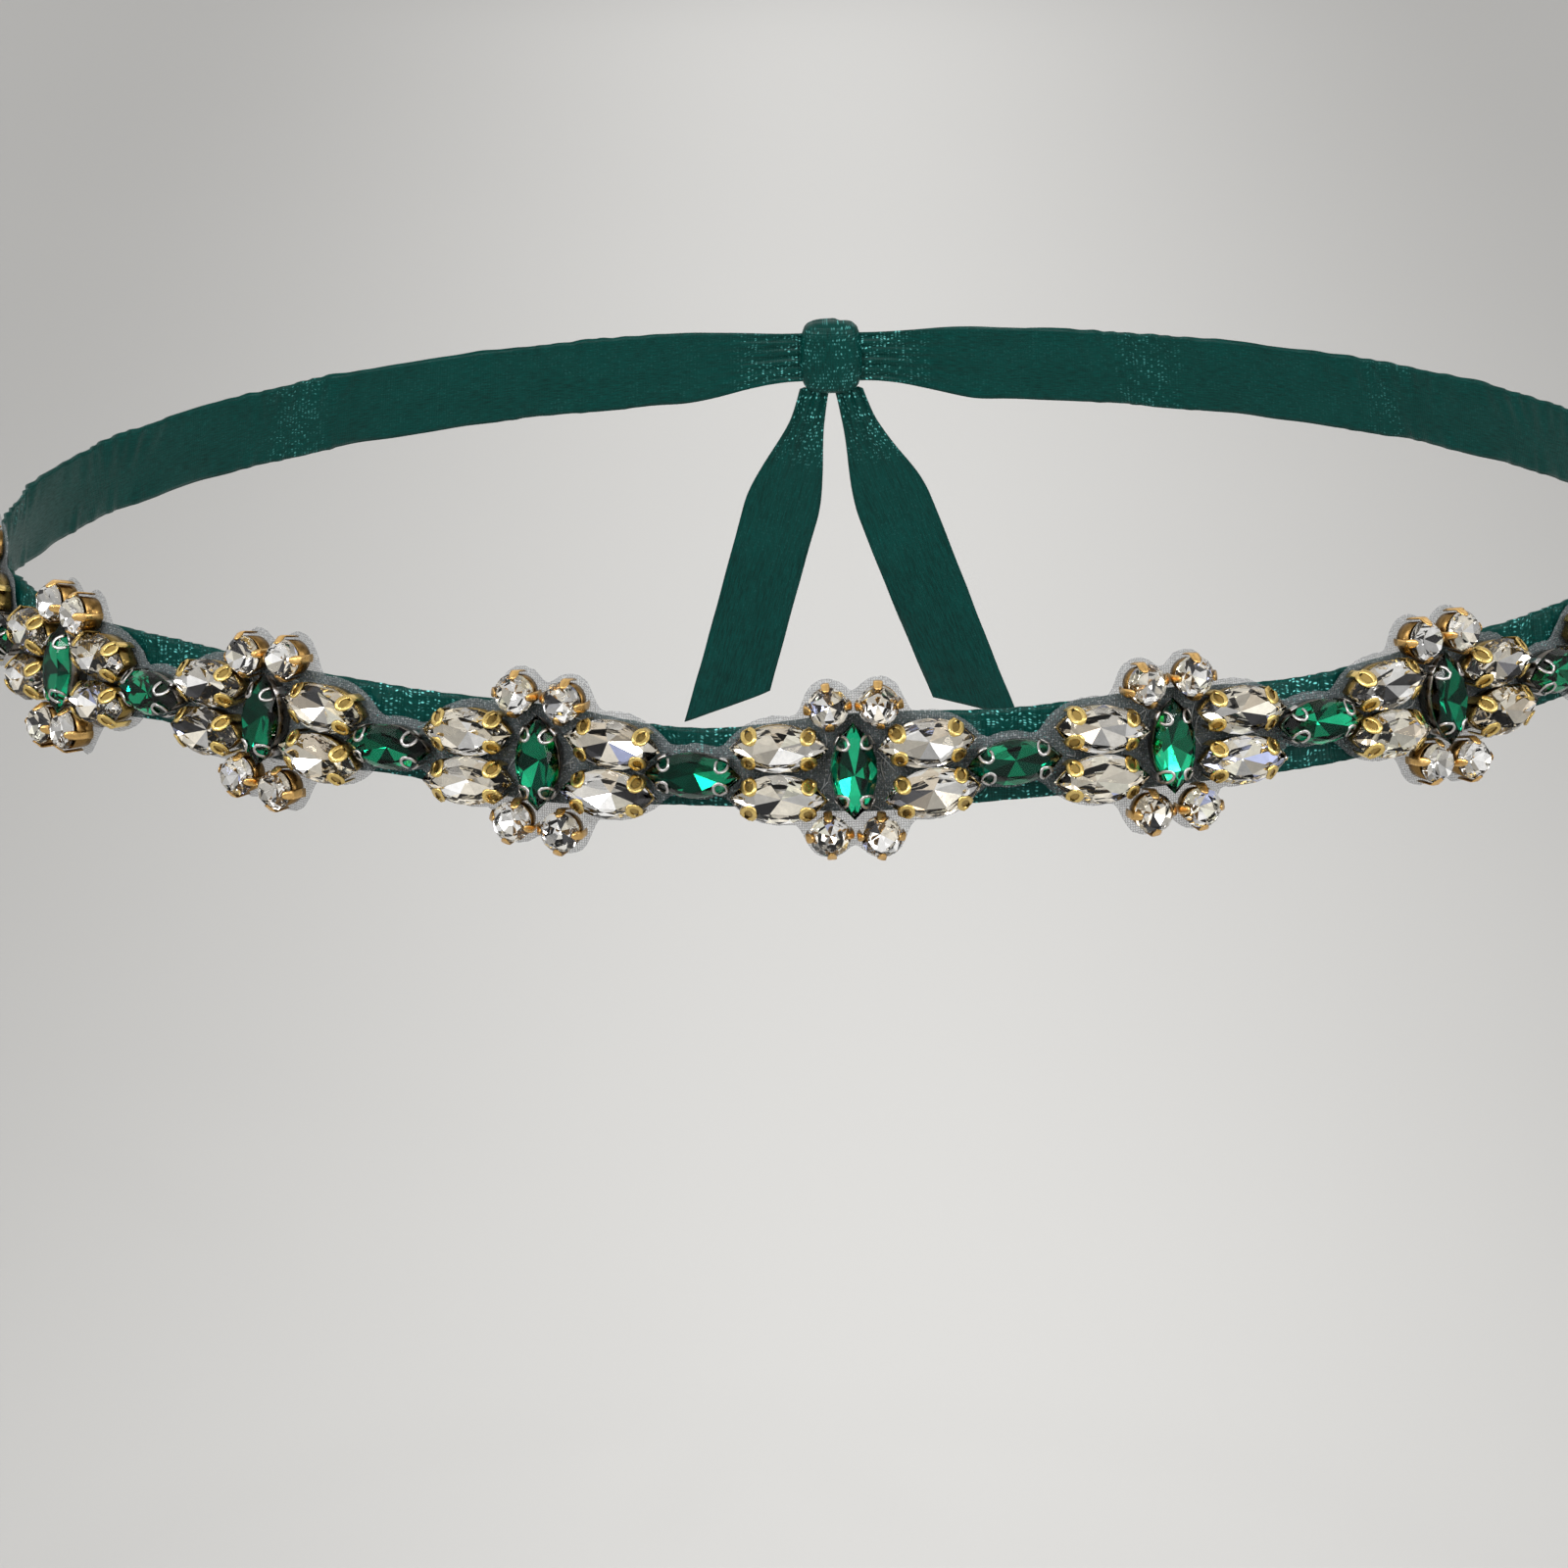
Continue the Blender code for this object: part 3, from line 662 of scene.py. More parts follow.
def ribbon_grid(cloth):
    """Points of the ribbon round the waist, their places in the flat cloth and how they are pinched."""
    end = RIBBON_END + cloth.ribbon_tuck
    count = round(2 * end / cloth.ribbon_step)
    places, shares = np.linspace(-end, end, count), np.linspace(-1, 1, RIBBON_COLUMNS)
    along, across = np.meshgrid(places, shares, indexing="ij")
    edge = np.where(across > 0, band_value(along, BAND_UPPER), band_value(along, BAND_LOWER))
    gathered = gather(along)
    height = across * (edge + (GATHERED_HALF_WIDTH - edge) * gathered)
    lift, pinch = crease_depth(along, across)
    pleats = gathered * (0.5 + 0.5 * np.cos(2 * math.pi * 2.5 * across + along / MM * 0.06)) * PLEAT_DEPTH
    ripple = edge_ripple(along, across, cloth.edge_wave) * (1 - gathered)
    out = cloth.ribbon_middle + gathered * GATHER_LIFT + pleats + (lift + ripple) * (1 - 0.7 * gathered)
    selvedge = SELVEDGE_RISE * (np.abs(across) > SELVEDGE_START)
    pinch = np.maximum(pinch, gathered * 0.8)
    out = np.maximum(out + selvedge, LEAST_STAND_OFF)
    place = np.stack([along, height, np.zeros_like(along)], -1)
    return on_band(along, height, out), place, pinch


def tail_grid(tail, rows=90, columns=15):
    """The same for a loose end, which is narrow at the knot and spreads as it hangs."""
    frame_back = band_frame(HALF_ROUND)
    share, across = np.meshgrid(np.linspace(0, 1, rows), np.linspace(-1, 1, columns), indexing="ij")
    length = (tail.length + tail.slant * tail.side * across) * MM * share
    splay = math.radians(tail.splay)
    spread = smooth_step(length / TAIL_SPREAD_LENGTH)
    half_width = TAIL_TOP_HALF_WIDTH + (RIBBON_HALF_WIDTH - TAIL_TOP_HALF_WIDTH) * spread
    curl = tail.wave * MM * np.sin(math.pi * tail.turns * share + TAIL_TWIST * across) * spread * share
    pleat = (1 - spread) * (0.5 + 0.5 * np.cos(3 * math.pi * across + 2 * share)) * PLEAT_DEPTH
    folds = 0.35 * MM * np.sin(length / MM * 0.45 + across * 1.8)
    folds = folds * np.abs(across) ** 1.5 * (0.4 + 0.6 * share)
    knot_folds = 0.5 * MM * np.cos(2 * math.pi * across + 1) * smooth_step(1 - length / (34 * MM)) * spread
    start = TAIL_TOP_HALF_WIDTH + TAIL_APART
    side = tail.side * (start + length * math.sin(splay)) + across * half_width * math.cos(splay)
    drop = KNOT_HALF_HEIGHT + SEAM_GAP - 1.2 * MM * (1 - smooth_step(share * 12)) + length * math.cos(splay)
    drop -= tail.side * across * half_width * math.sin(splay) * spread
    out = TAIL_LIFT + 0.5 * MM + length * math.tan(TAIL_LEAN) + tail.wave * MM * spread
    out += curl + pleat + folds + knot_folds
    points = moved(np.stack([side, -drop, out], -1).reshape(-1, 3), frame_back).reshape(rows, columns, 3)
    place = np.stack([length, across * half_width, np.full_like(side, 0.5)], -1)
    pinch = smooth_step(1 - length / (30 * MM)) * 0.9
    return points, place, pinch


def knot_rings(rings=44, sides=72):
    """The tied knot, from its foot up: a ribbon wrapped tight, with folds aslant over its front."""
    share = np.sin(np.linspace(-math.pi / 2, math.pi / 2, rings))[:, None]
    angle = (2 * math.pi * np.arange(sides) / sides)[None, :]
    fullness = np.sqrt(np.maximum(1 - 0.35 * share**2 - 0.6 * np.abs(share) ** 9, 0.03))
    aside, outward_share = np.cos(angle), np.sin(angle)
    roundness = np.abs(aside) ** KNOT_SQUARENESS + np.abs(outward_share) ** KNOT_SQUARENESS
    front = smooth_step(outward_share * 2 + 0.4)
    wrap = share * 2.1 + 0.9 * aside + 0.25 * np.sin(3 * aside + 2 * share)
    folds = 0.5 + 0.5 * np.cos(wrap * 4.3)
    fine = 0.5 + 0.5 * np.cos(wrap * 11 + aside * 2)
    sunk = front * (0.11 * folds**2 + 0.035 * fine)
    reach = fullness * roundness ** (-1 / KNOT_SQUARENESS) * (1 - sunk)
    out = SEAM_GAP + KNOT_DEPTH / 2 * (1 + reach * outward_share)
    height = KNOT_HALF_HEIGHT * share * (1 - 0.05 * front * folds) + 0 * angle
    return np.stack([KNOT_HALF_WIDTH * reach * aside, height, out], -1)


def turned_flat(points, angle):
    """Points of a flat outline, turned anticlockwise."""
    cosine, sine = math.cos(angle), math.sin(angle)
    return points @ np.array([[cosine, sine], [-sine, cosine]])


def softened(values):
    """Values with their steps evened out over a few neighbours."""
    weights = np.exp(-(np.linspace(-2, 2, 9) ** 2))
    weights /= weights.sum()
    return np.convolve(np.pad(values, len(weights) // 2, mode="edge"), weights, "valid")


def backing_edges(cloth, stones, columns):
    """Height of the backing's upper and lower edge at each column: a margin outside every stone."""
    margin = cloth.backing_margin
    upper = np.full(len(columns), BACKING_LEAST_HALF_WIDTH)
    lower = -upper
    for seat in sewn_seats():
        outline = turned_flat(stone_outline(seat.kind, stones, 64), math.radians(seat.tilt))
        turn = math.radians(seat.turn) + band_slope(seat.along)
        spun = turned_flat(outline + np.array(seat.offset), turn)
        x = seat.along + spun[:, 0]
        y = seat.up + spun[:, 1] + float(band_value(seat.along, BAND_RISE))
        near = np.abs(columns - seat.along) < 12 * MM
        gap = columns[near][:, None] - x[None, :]
        reach = np.sqrt(np.maximum(margin**2 - gap**2, 0))
        inside = np.abs(gap) < margin
        level = band_value(columns[near], BAND_RISE)
        high = np.where(inside, y + reach, -1).max(1) - level
        low = np.where(inside, y - reach, 1).min(1) - level
        upper[near] = np.where(high > -0.5, np.maximum(upper[near], high), upper[near])
        lower[near] = np.where(low < 0.5, np.minimum(lower[near], low), lower[near])
    return softened(upper), softened(lower)


# Stones and metal


def stone_faces():
    """Faces of a cut stone: table, crown, girdle and pavilion, with the foiled ones marked."""
    half = FACETS // 2
    table = list(range(half))
    middle = [half + k for k in range(half)]
    girdle = [2 * half + j for j in range(FACETS)]
    under = [2 * half + FACETS + j for j in range(FACETS)]
    deep = [2 * half + 2 * FACETS + k for k in range(half)]
    culet = 3 * half + 2 * FACETS
    faces, foiled = [tuple(table)], [0]
    for k in range(half):
        after = (k + 1) % half
        here, odd, beyond = 2 * k, 2 * k + 1, (2 * k + 2) % FACETS
        crown = [
            (table[k], middle[k], table[after]),
            (table[k], middle[k - 1], girdle[here], middle[k]),
            (middle[k], girdle[here], girdle[odd]),
            (middle[k], girdle[odd], girdle[beyond]),
            (girdle[here], girdle[odd], under[odd], under[here]),
            (girdle[odd], girdle[beyond], under[beyond], under[odd]),
        ]
        pavilion = [
            (deep[k], under[here], under[odd]),
            (deep[k], under[odd], under[beyond]),
            (culet, deep[k - 1], under[here], deep[k]),
        ]
        faces += crown + pavilion
        foiled += [0] * len(crown) + [1] * len(pavilion)
    return faces, foiled


STONE_FACES, STONE_FOILED = stone_faces()


def stone_points(outline, table_share, height, girdle, chance):
    """Points of one cut stone, a little uneven as pressed glass is."""
    half = FACETS // 2
    even, odd = outline[0::2], outline[1::2]
    width = float(outline[:, 1].max())
    sway = chance.normal(0, 0.012, (half, 1)) + 1
    table = even * table_share * sway
    middle = odd * (0.5 + 0.5 * table_share) * (1 + chance.normal(0, 0.01, (half, 1)))
    deep = odd * PAVILION_SHARE * (1 + chance.normal(0, 0.05, (half, 1)))
    culet = chance.normal(0, 0.05, 2) * np.array([outline[:, 0].max(), width])
    middle_height = girdle + (height - girdle) * CROWN_BEND
    levels = [
        (table, np.full(half, height)),
        (middle, np.full(half, middle_height)),
        (outline, np.full(FACETS, girdle)),
        (outline * 0.995, np.full(FACETS, girdle - GIRDLE_DEPTH)),
        (deep, girdle - PAVILION_DEPTH + chance.normal(0, 0.05 * MM, half)),
        (culet[None, :], np.array([girdle - CULET_DEPTH])),
    ]
    return np.concatenate([np.column_stack([xy, z]) for xy, z in levels])


def add_stone(gathered, seat, outline, levels, table_share, palette, chance):
    """palette gives the foil's tones, which are painted reflections, and their shares above and below the
    stone's middle, which paint the light as falling from above.
    """
    height, girdle = levels
    points = stone_points(outline, table_share, height, girdle, chance)
    faces = outward(points, STONE_FACES, np.array([0, 0, girdle - 0.3 * MM]))
    lean_x = Matrix.Rotation(math.radians(chance.normal(0, LEAN_X)), 4, "X")
    lean_y = Matrix.Rotation(math.radians(chance.normal(0, LEAN_Y)), 4, "Y")
    matrix = seat_matrix(seat)
    upward = band_frame(seat.along).inverted() @ matrix
    tones, upper_shares, lower_shares = palette
    tints = []
    for face, foiled in zip(faces, STONE_FOILED):
        if not foiled:
            tints.append((1, 1, 1))
            continue
        centre = upward @ Vector(points[list(face)].mean(0))
        # Facets above and below the stone's middle take tones in different shares: a painted pattern of
        # light falling from above
        shares = upper_shares if centre.y > upward.translation.y else lower_shares
        tone = tones[chance.choice(len(tones), p=shares)]
        tints.append(tuple(np.clip(np.array(tone) * chance.uniform(*TONE_SPREAD), 0, 1)))
    gathered.add(moved(points, matrix @ (lean_x @ lean_y)), faces, STONE_FOILED, tints)


def cup_parts(outline, base, rim, wall):
    """A thin cup round a stone's underside: inside, rim and outside."""
    count = len(outline)
    inner = 1 - wall / float(outline[:, 1].max())
    rings = [
        (CUP_BASE_SHARE * inner, base + wall),
        (CUP_RIM_SHARE * inner, rim),
        (CUP_RIM_SHARE, rim),
        (CUP_BASE_SHARE + 0.02, base + CUP_FOOT),
        (CUP_BASE_SHARE - 0.03, base),
    ]
    points = [np.column_stack([outline * share, np.full(count, height)]) for share, height in rings]
    return np.concatenate(points), tube_faces(len(rings), count, clockwise=True)


def outline_share(points, outline_half, rounded):
    """How far out each point lies, as a share of the way from the middle to the stone's outline."""
    x, y = np.abs(points[:, 0]), np.abs(points[:, 1])
    if rounded:
        return np.hypot(x, y) / outline_half[0]
    half_length, half_width = outline_half
    radius = (half_length**2 + half_width**2) / (2 * half_width)
    sunk = radius - half_width
    low, high = np.full(len(x), 0.01), np.full(len(x), 3.0)
    for _ in range(24):
        share = (low + high) / 2
        inside = np.hypot(x / share, y / share + sunk) < radius
        high = np.where(inside, share, high)
        low = np.where(inside, low, share)
    return (low + high) / 2


# Parts of a claw by their tint; the sides and the hollow are in painted shade, tinted as multiples of the
# metal's shade tint
BRIGHT, PAINTED_SHADE_SIDE, PAINTED_SHADE_HOLLOW = 0, 1, 2
SIDE_SHADE_TINT = 1.8
HOLLOW_SHADE_TINT = 1.7


def claw_parts(anchor, facing, outline_half, rounded, crown, loop, thickness, foot):
    """A claw bent over the stone's edge: a ring, or a tab with a round end, and the strap below it.

    crown holds the shares and heights of the stone's crown, loop the outer and hole radius, how far
    inside the edge the claw's middle lies and the angle to which its ring closes on each side, and
    foot the height at which the strap ends.
    """
    outer, hole, inset, closing = loop
    down = crown[1][-1] - foot
    strap = [0.12 * MM, 0.45 * MM, down * 0.55, down]
    aside = np.array([-facing[1], facing[0]])

    def placed(path):
        r, v = path[:, 0], path[:, 1]
        over = np.minimum(r, 0.0)
        beyond = np.maximum(r, 0.0)
        outset = np.where(r > 0, np.minimum(beyond, 0.2 * MM) + STRAP_OUTSET, 0.0) - 0.10 * beyond
        flat = anchor + facing * (over + outset)[:, None] + aside * v[:, None]
        share = outline_share(flat, outline_half, rounded)
        height = np.interp(share, crown[0], crown[1]) - np.where(r > 0, beyond, 0.0)
        return np.column_stack([flat, height])

    def swept(path, widths):
        step = 0.05 * MM
        middle = placed(path)
        radial = placed(path + [step, 0]) - placed(path - [step, 0])
        sideways = placed(path + [0, step]) - placed(path - [0, step])
        normal = np.cross(radial, sideways)
        normal /= np.linalg.norm(normal, axis=1, keepdims=True)
        heading = np.gradient(middle, axis=0)
        heading /= np.linalg.norm(heading, axis=1, keepdims=True)
        across = np.cross(normal, heading)
        across /= np.linalg.norm(across, axis=1, keepdims=True)
        middle = middle + normal * thickness * 0.5
        section = [
            middle + across * (wide * widths)[:, None] + normal * thick * thickness
            for wide, thick in CLAW_SECTION
        ]
        sides = len(CLAW_SECTION)
        points = np.stack(section, 1).reshape(-1, 3)
        # The top sides keep the metal's colour, the rest are in painted shade
        ring = [BRIGHT if j in CLAW_TOP_SIDES else PAINTED_SHADE_SIDE for j in range(sides)]
        shades = ring * (len(path) - 1) + [PAINTED_SHADE_SIDE, PAINTED_SHADE_SIDE]
        return points, tube_faces(len(path), sides, clockwise=True), shades

    if not hole:
        ends = [-inset - share * outer for share in (1, 0.75, 0.3, 0)]
        path = np.array([(r, 0) for r in ends + strap])
        widths = outer * np.array([0.7, 1.45, 1.95, 2.0, 2.0, 1.9, 1.8, 1.8])
        return [swept(path, widths)]

    def arc(radius, closing):
        turn = np.linspace(-closing, closing, CLAW_STEPS)
        return np.column_stack([-inset - radius * np.cos(turn), radius * np.sin(turn)])

    tail = np.array([(r, 0) for r in (outer - inset - 0.5 * MM, *strap)])
    parts = [
        swept(arc((outer + hole) / 2, closing), np.full(CLAW_STEPS, outer - hole)),
        swept(tail, np.full(len(tail), STRAP_WIDTH)),
    ]
    if closing > OPEN_CLAW:
        # The hollow disc is a sheet in painted shade inside the ring. Its top has points of its own, so
        # that it is shaded flat
        disc = placed(arc(hole * HOLLOW_SHARE, math.pi)[:-1])
        count = len(disc)
        rise = [[0, 0, thickness * share] for share in (HOLLOW_TOP, HOLLOW_FOOT, HOLLOW_TOP)]
        faces = tube_faces(2, count)
        faces[-2] = tuple(reversed(range(2 * count, 3 * count)))
        parts.append((np.concatenate([disc + up for up in rise]), faces, [PAINTED_SHADE_HOLLOW] * len(faces)))
    return parts


def navette_claw_anchors(outline_half):
    """Anchor points on a navette's outline at its four shoulders, with the way each faces."""
    half_length, half_width = outline_half
    radius = (half_length**2 + half_width**2) / (2 * half_width)
    x = CLAW_SHOULDER * half_length
    y = math.sqrt(radius**2 - x**2) - (radius - half_width)
    anchors = []
    for sign_x in (-1, 1):
        for sign_y in (-1, 1):
            facing = np.array([sign_x * x / radius, sign_y * (y + radius - half_width) / radius])
            anchors.append((np.array([sign_x * x, sign_y * y]), facing))
    return anchors


def round_claw_anchors(radius):
    """The same on a round stone, at its four quarters."""
    directions = [np.array([math.cos(a), math.sin(a)]) for a in np.arange(4) * math.pi / 2]
    return [(direction * radius, direction) for direction in directions]


def add_setting(gathered, seat, kind, stones, metal, chance):
    """The cup of one stone, with its claws."""
    rounded = kind == ROUND
    outline = stone_outline(kind, stones, 32)
    outline_half = (float(outline[:, 0].max()), float(outline[:, 1].max()))
    height, girdle = stone_levels(kind, stones)
    matrix = seat_matrix(seat)
    base = metal.cup_base - SEAT
    rim = girdle - (ROUND_RIM_DROP if rounded else NAVETTE_RIM_DROP)
    points, faces = cup_parts(outline, base, rim, metal.cup_wall)
    shade = np.array(metal.shade)
    # The whole cup is painted in shade
    gathered.add(moved(points, matrix), faces, None, [tuple(shade)] * len(faces))
    table = stones.table_share
    bend = girdle + (height - girdle) * CROWN_BEND
    crown = ([0, table, 0.5 + 0.5 * table, 1.0], [height, height, bend, girdle])
    anchors = round_claw_anchors(outline_half[0]) if rounded else navette_claw_anchors(outline_half)
    loop = {
        GREEN: (metal.silver_reach, metal.silver_hole, CLAW_INSET),
        NAVETTE: (metal.claw_reach, metal.claw_hole, CLAW_INSET),
        ROUND: (metal.tab_reach, 0, TAB_INSET),
    }[kind]
    least, most = GREEN_CLAW_CLOSING if kind == GREEN else CLEAR_CLAW_CLOSING
    for anchor, facing in anchors:
        swung = turned_flat(facing, float(chance.normal(0, CLAW_SWING)))
        size = float(chance.uniform(*CLAW_SIZES))
        closing = math.radians(chance.uniform(least, most))
        inset = loop[2] + float(chance.normal(0, 0.08)) * MM
        own_loop = (loop[0] * size, loop[1] * size, inset, closing)
        bright = float(chance.uniform(0.9, 1.0))
        # The claw's top is the metal's colour, a little varied; its sides and hollow are in painted shade
        tones = [(bright, bright, bright), tuple(shade * SIDE_SHADE_TINT), tuple(shade * HOLLOW_SHADE_TINT)]
        parts = claw_parts(
            anchor, swung, outline_half, rounded, crown, own_loop, metal.claw_thickness, base + 0.2 * MM
        )
        for points, faces, shades in parts:
            gathered.add(moved(points, matrix), faces, None, [tones[s] for s in shades])


def thread_tube(points, radius, sides=5):
    """A thin round thread through points."""
    points = np.asarray(points, float)
    heading = np.gradient(points, axis=0)
    heading /= np.linalg.norm(heading, axis=1, keepdims=True)
    side = np.cross(heading, [0.31, 0.22, 0.92])
    side /= np.linalg.norm(side, axis=1, keepdims=True)
    other = np.cross(heading, side)
    angles = 2 * math.pi * np.arange(sides) / sides
    cosines, sines = np.cos(angles)[None, :, None], np.sin(angles)[None, :, None]
    rings = points[:, None] + radius * (side[:, None] * cosines + other[:, None] * sines)
    return rings.reshape(-1, 3), tube_faces(len(points), sides)


# Materials


def new_material(name):
    material = bpy.data.materials.new(name)
    material.use_nodes = True
    tree = material.node_tree
    return material, tree, tree.nodes["Principled BSDF"]


def add_node(tree, kind, values=None, **settings):
    node = tree.nodes.new(kind)
    for key, value in settings.items():
        setattr(node, key, value)
    for key, value in (values or {}).items():
        node.inputs[key].default_value = value
    return node


def object_noise(tree, scale, detail):
    """Soft noise fixed to the piece."""
    place = add_node(tree, "ShaderNodeTexCoord").outputs["Object"]
    noise = add_node(tree, "ShaderNodeTexNoise", {"Scale": scale, "Detail": detail})
    tree.links.new(place, noise.inputs["Vector"])
    return noise.outputs["Fac"]


def cloth_noise(tree, pattern, detail, roughness=0.5):
    """Soft noise fixed to the flat cloth."""
    values = {"Scale": 1.0, "Detail": detail, "Roughness": roughness}
    noise = add_node(tree, "ShaderNodeTexNoise", values)
    tree.links.new(scaled_place(tree, pattern), noise.inputs["Vector"])
    return noise.outputs["Fac"]


def add_bump(tree, shader, height, strength, distance):
    bump = add_node(tree, "ShaderNodeBump", {"Strength": strength, "Distance": distance})
    tree.links.new(height, bump.inputs["Height"])
    tree.links.new(bump.outputs["Normal"], shader.inputs["Normal"])


def scaled_place(tree, scale):
    """The cloth's flat place, stretched to a pattern's own size."""
    place = add_node(tree, "ShaderNodeAttribute", attribute_name="cloth_place")
    stretched = add_node(tree, "ShaderNodeVectorMath", {1: scale}, operation="MULTIPLY")
    tree.links.new(place.outputs["Vector"], stretched.inputs[0])
    return stretched.outputs["Vector"]


def math_node(tree, operation, first, second, clamp=False):
    node = add_node(tree, "ShaderNodeMath", operation=operation, use_clamp=clamp)
    for socket, value in zip(node.inputs, (first, second)):
        if isinstance(value, (int, float)):
            socket.default_value = value
        else:
            tree.links.new(value, socket)
    return node.outputs[0]


def map_range(tree, value, low, high, to_low, to_high):
    values = {"From Min": low, "From Max": high, "To Min": to_low, "To Max": to_high}
    node = add_node(tree, "ShaderNodeMapRange", values)
    tree.links.new(value, node.inputs["Value"])
    return node.outputs["Result"]


def mix_colour(tree, share, first, second, blend="MIX"):
    node = add_node(tree, "ShaderNodeMix", data_type="RGBA", blend_type=blend)
    for socket, value in ((node.inputs[0], share), (node.inputs[6], first), (node.inputs[7], second)):
        if isinstance(value, (int, float)):
            socket.default_value = value
        elif isinstance(value, bpy.types.NodeSocket):
            tree.links.new(value, socket)
        else:
            socket.default_value = (*value, 1)
    return node.outputs[2]


# Patterns of the cloths, as repeats in a metre along the cloth, across it and through it
SATIN_STREAKS = (420, 5200, 1)
SATIN_RIBS = (620, 210, 1)
SATIN_CLOUDS = (95, 160, 1)
SATIN_BOWS = (230, 120, 1)
SATIN_GLINT_DASHES = (1400, 2700, 1)
MESH_HOLES = (2700, 2700, 1)
MESH_PATCHES = (520, 520, 1)
MESH_GLINT_SPECKS = (2600, 2600, 1)
# How far the rows of painted glint dashes bow across the ribbon, in rows
DASH_BOW = 2.2


def painted_satin_glints(tree, cloud, pinch):
    """Painted glints where single threads catch the light: bowed rows of bright dashes in the colour,
    strongest where the satin is drawn.
    """
    links = tree.links
    bow = add_node(tree, "ShaderNodeCombineXYZ")
    bowed = map_range(tree, cloth_noise(tree, SATIN_BOWS, 1.0), 0.3, 0.7, -DASH_BOW, DASH_BOW)
    links.new(bowed, bow.inputs["Y"])
    rows = add_node(tree, "ShaderNodeVectorMath", operation="ADD")
    links.new(scaled_place(tree, SATIN_GLINT_DASHES), rows.inputs[0])
    links.new(bow.outputs["Vector"], rows.inputs[1])
    dash = add_node(tree, "ShaderNodeTexVoronoi", {"Scale": 1.0, "Randomness": 0.45})
    links.new(rows.outputs["Vector"], dash.inputs["Vector"])
    lit = add_node(tree, "ShaderNodeSeparateColor")
    links.new(dash.outputs["Color"], lit.inputs["Color"])
    near = map_range(tree, dash.outputs["Distance"], 0.15, 0.42, 1, 0)
    glint = math_node(tree, "MULTIPLY", near, map_range(tree, lit.outputs["Red"], 0.42, 0.80, 0, 1))
    glint = math_node(tree, "MULTIPLY", glint, map_range(tree, cloud, 0.38, 0.52, 0.08, 1))
    return math_node(tree, "MULTIPLY", glint, map_range(tree, pinch, 0.35, 0.85, 0.03, 1.0), clamp=True)


def satin_material(cloth):
    """Satin with streaks along it in painted shade where its threads dip, ribs across it where it is drawn,
    and painted glints.
    """
    material, tree, shader = new_material("emerald_satin")
    links = tree.links
    streak = cloth_noise(tree, SATIN_STREAKS, 2.0, 0.6)
    cloud = cloth_noise(tree, SATIN_CLOUDS, 3.0)
    pinch = add_node(tree, "ShaderNodeAttribute", attribute_name="pinch").outputs["Fac"]
    # Painted shade in streaks where the threads dip: the shade colour is mixed in where this is low
    threads = map_range(tree, streak, 0.35, 0.68, 0, 1)
    body = mix_colour(tree, threads, cloth.ribbon_dip_shade, cloth.ribbon_colour)
    body = mix_colour(tree, map_range(tree, cloud, 0.3, 0.75, 0, 0.45), body, cloth.ribbon_colour)
    # Painted glints: the glint colour is mixed into the satin's colour
    with_painted_glints = mix_colour(tree, painted_satin_glints(tree, cloud, pinch), body, cloth.ribbon_painted_glint)
    links.new(with_painted_glints, shader.inputs["Base Color"])
    links.new(map_range(tree, streak, 0.3, 0.7, 0.46, 0.27), shader.inputs["Roughness"])
    rib_values = {"Scale": 1.0, "Distortion": 3.2, "Detail": 2.0, "Detail Scale": 1.5}
    ribs = add_node(tree, "ShaderNodeTexWave", rib_values, bands_direction="X")
    links.new(scaled_place(tree, SATIN_RIBS), ribs.inputs["Vector"])
    fine = add_node(tree, "ShaderNodeBump", {"Strength": 0.35, "Distance": 0.06 * MM})
    links.new(streak, fine.inputs["Height"])
    drawn = add_node(tree, "ShaderNodeBump", {"Distance": 0.22 * MM})
    links.new(map_range(tree, pinch, 0.1, 0.9, 0.04, 0.35), drawn.inputs["Strength"])
    links.new(ribs.outputs["Fac"], drawn.inputs["Height"])
    links.new(fine.outputs["Normal"], drawn.inputs["Normal"])
    links.new(drawn.outputs["Normal"], shader.inputs["Normal"])
    shader.inputs["Anisotropic"].default_value = 0.45
    shader.inputs["Specular IOR Level"].default_value = 0.12
    shader.inputs["Sheen Weight"].default_value = 0.01
    shader.inputs["Sheen Roughness"].default_value = 0.35
    shader.inputs["Sheen Tint"].default_value = (0.1, 0.7, 0.55, 1)
    return material


def tulle_material(cloth):
    """Fine see-through mesh with painted glints: specks of brighter colour where its threads catch light.
    """
    material, tree, shader = new_material("grey_mesh")
    links = tree.links
    net_values = {"Scale": 1.0, "Randomness": 0.3}
    net = add_node(tree, "ShaderNodeTexVoronoi", net_values, feature="DISTANCE_TO_EDGE")
    links.new(scaled_place(tree, MESH_HOLES), net.inputs["Vector"])
    threads = map_range(tree, net.outputs["Distance"], 0.07, 0.20, 1, 0)
    haze = map_range(tree, cloth_noise(tree, MESH_PATCHES, 3.0), 0.35, 0.7, 0.12, 0.27)
    speck = cloth_noise(tree, MESH_GLINT_SPECKS, 1.0)
    # Painted glints: specks of bright colour where the mesh's threads catch light, also a little less rough
    bright = map_range(tree, speck, 0.55, 0.68, 0, 1)
    mesh_painted_glints = mix_colour(tree, bright, cloth.backing_colour, cloth.backing_painted_glint)
    links.new(mesh_painted_glints, shader.inputs["Base Color"])
    thread_cover = math_node(tree, "MULTIPLY", threads, 0.50)
    links.new(math_node(tree, "MAXIMUM", thread_cover, haze, clamp=True), shader.inputs["Alpha"])
    links.new(map_range(tree, speck, 0.3, 0.7, 0.85, 0.5), shader.inputs["Roughness"])
    add_bump(tree, shader, threads, 0.5, 0.08 * MM)
    return material


def darker(colour, share):
    """A colour dimmed to a share of its brightness."""
    return tuple(channel * share for channel in colour)


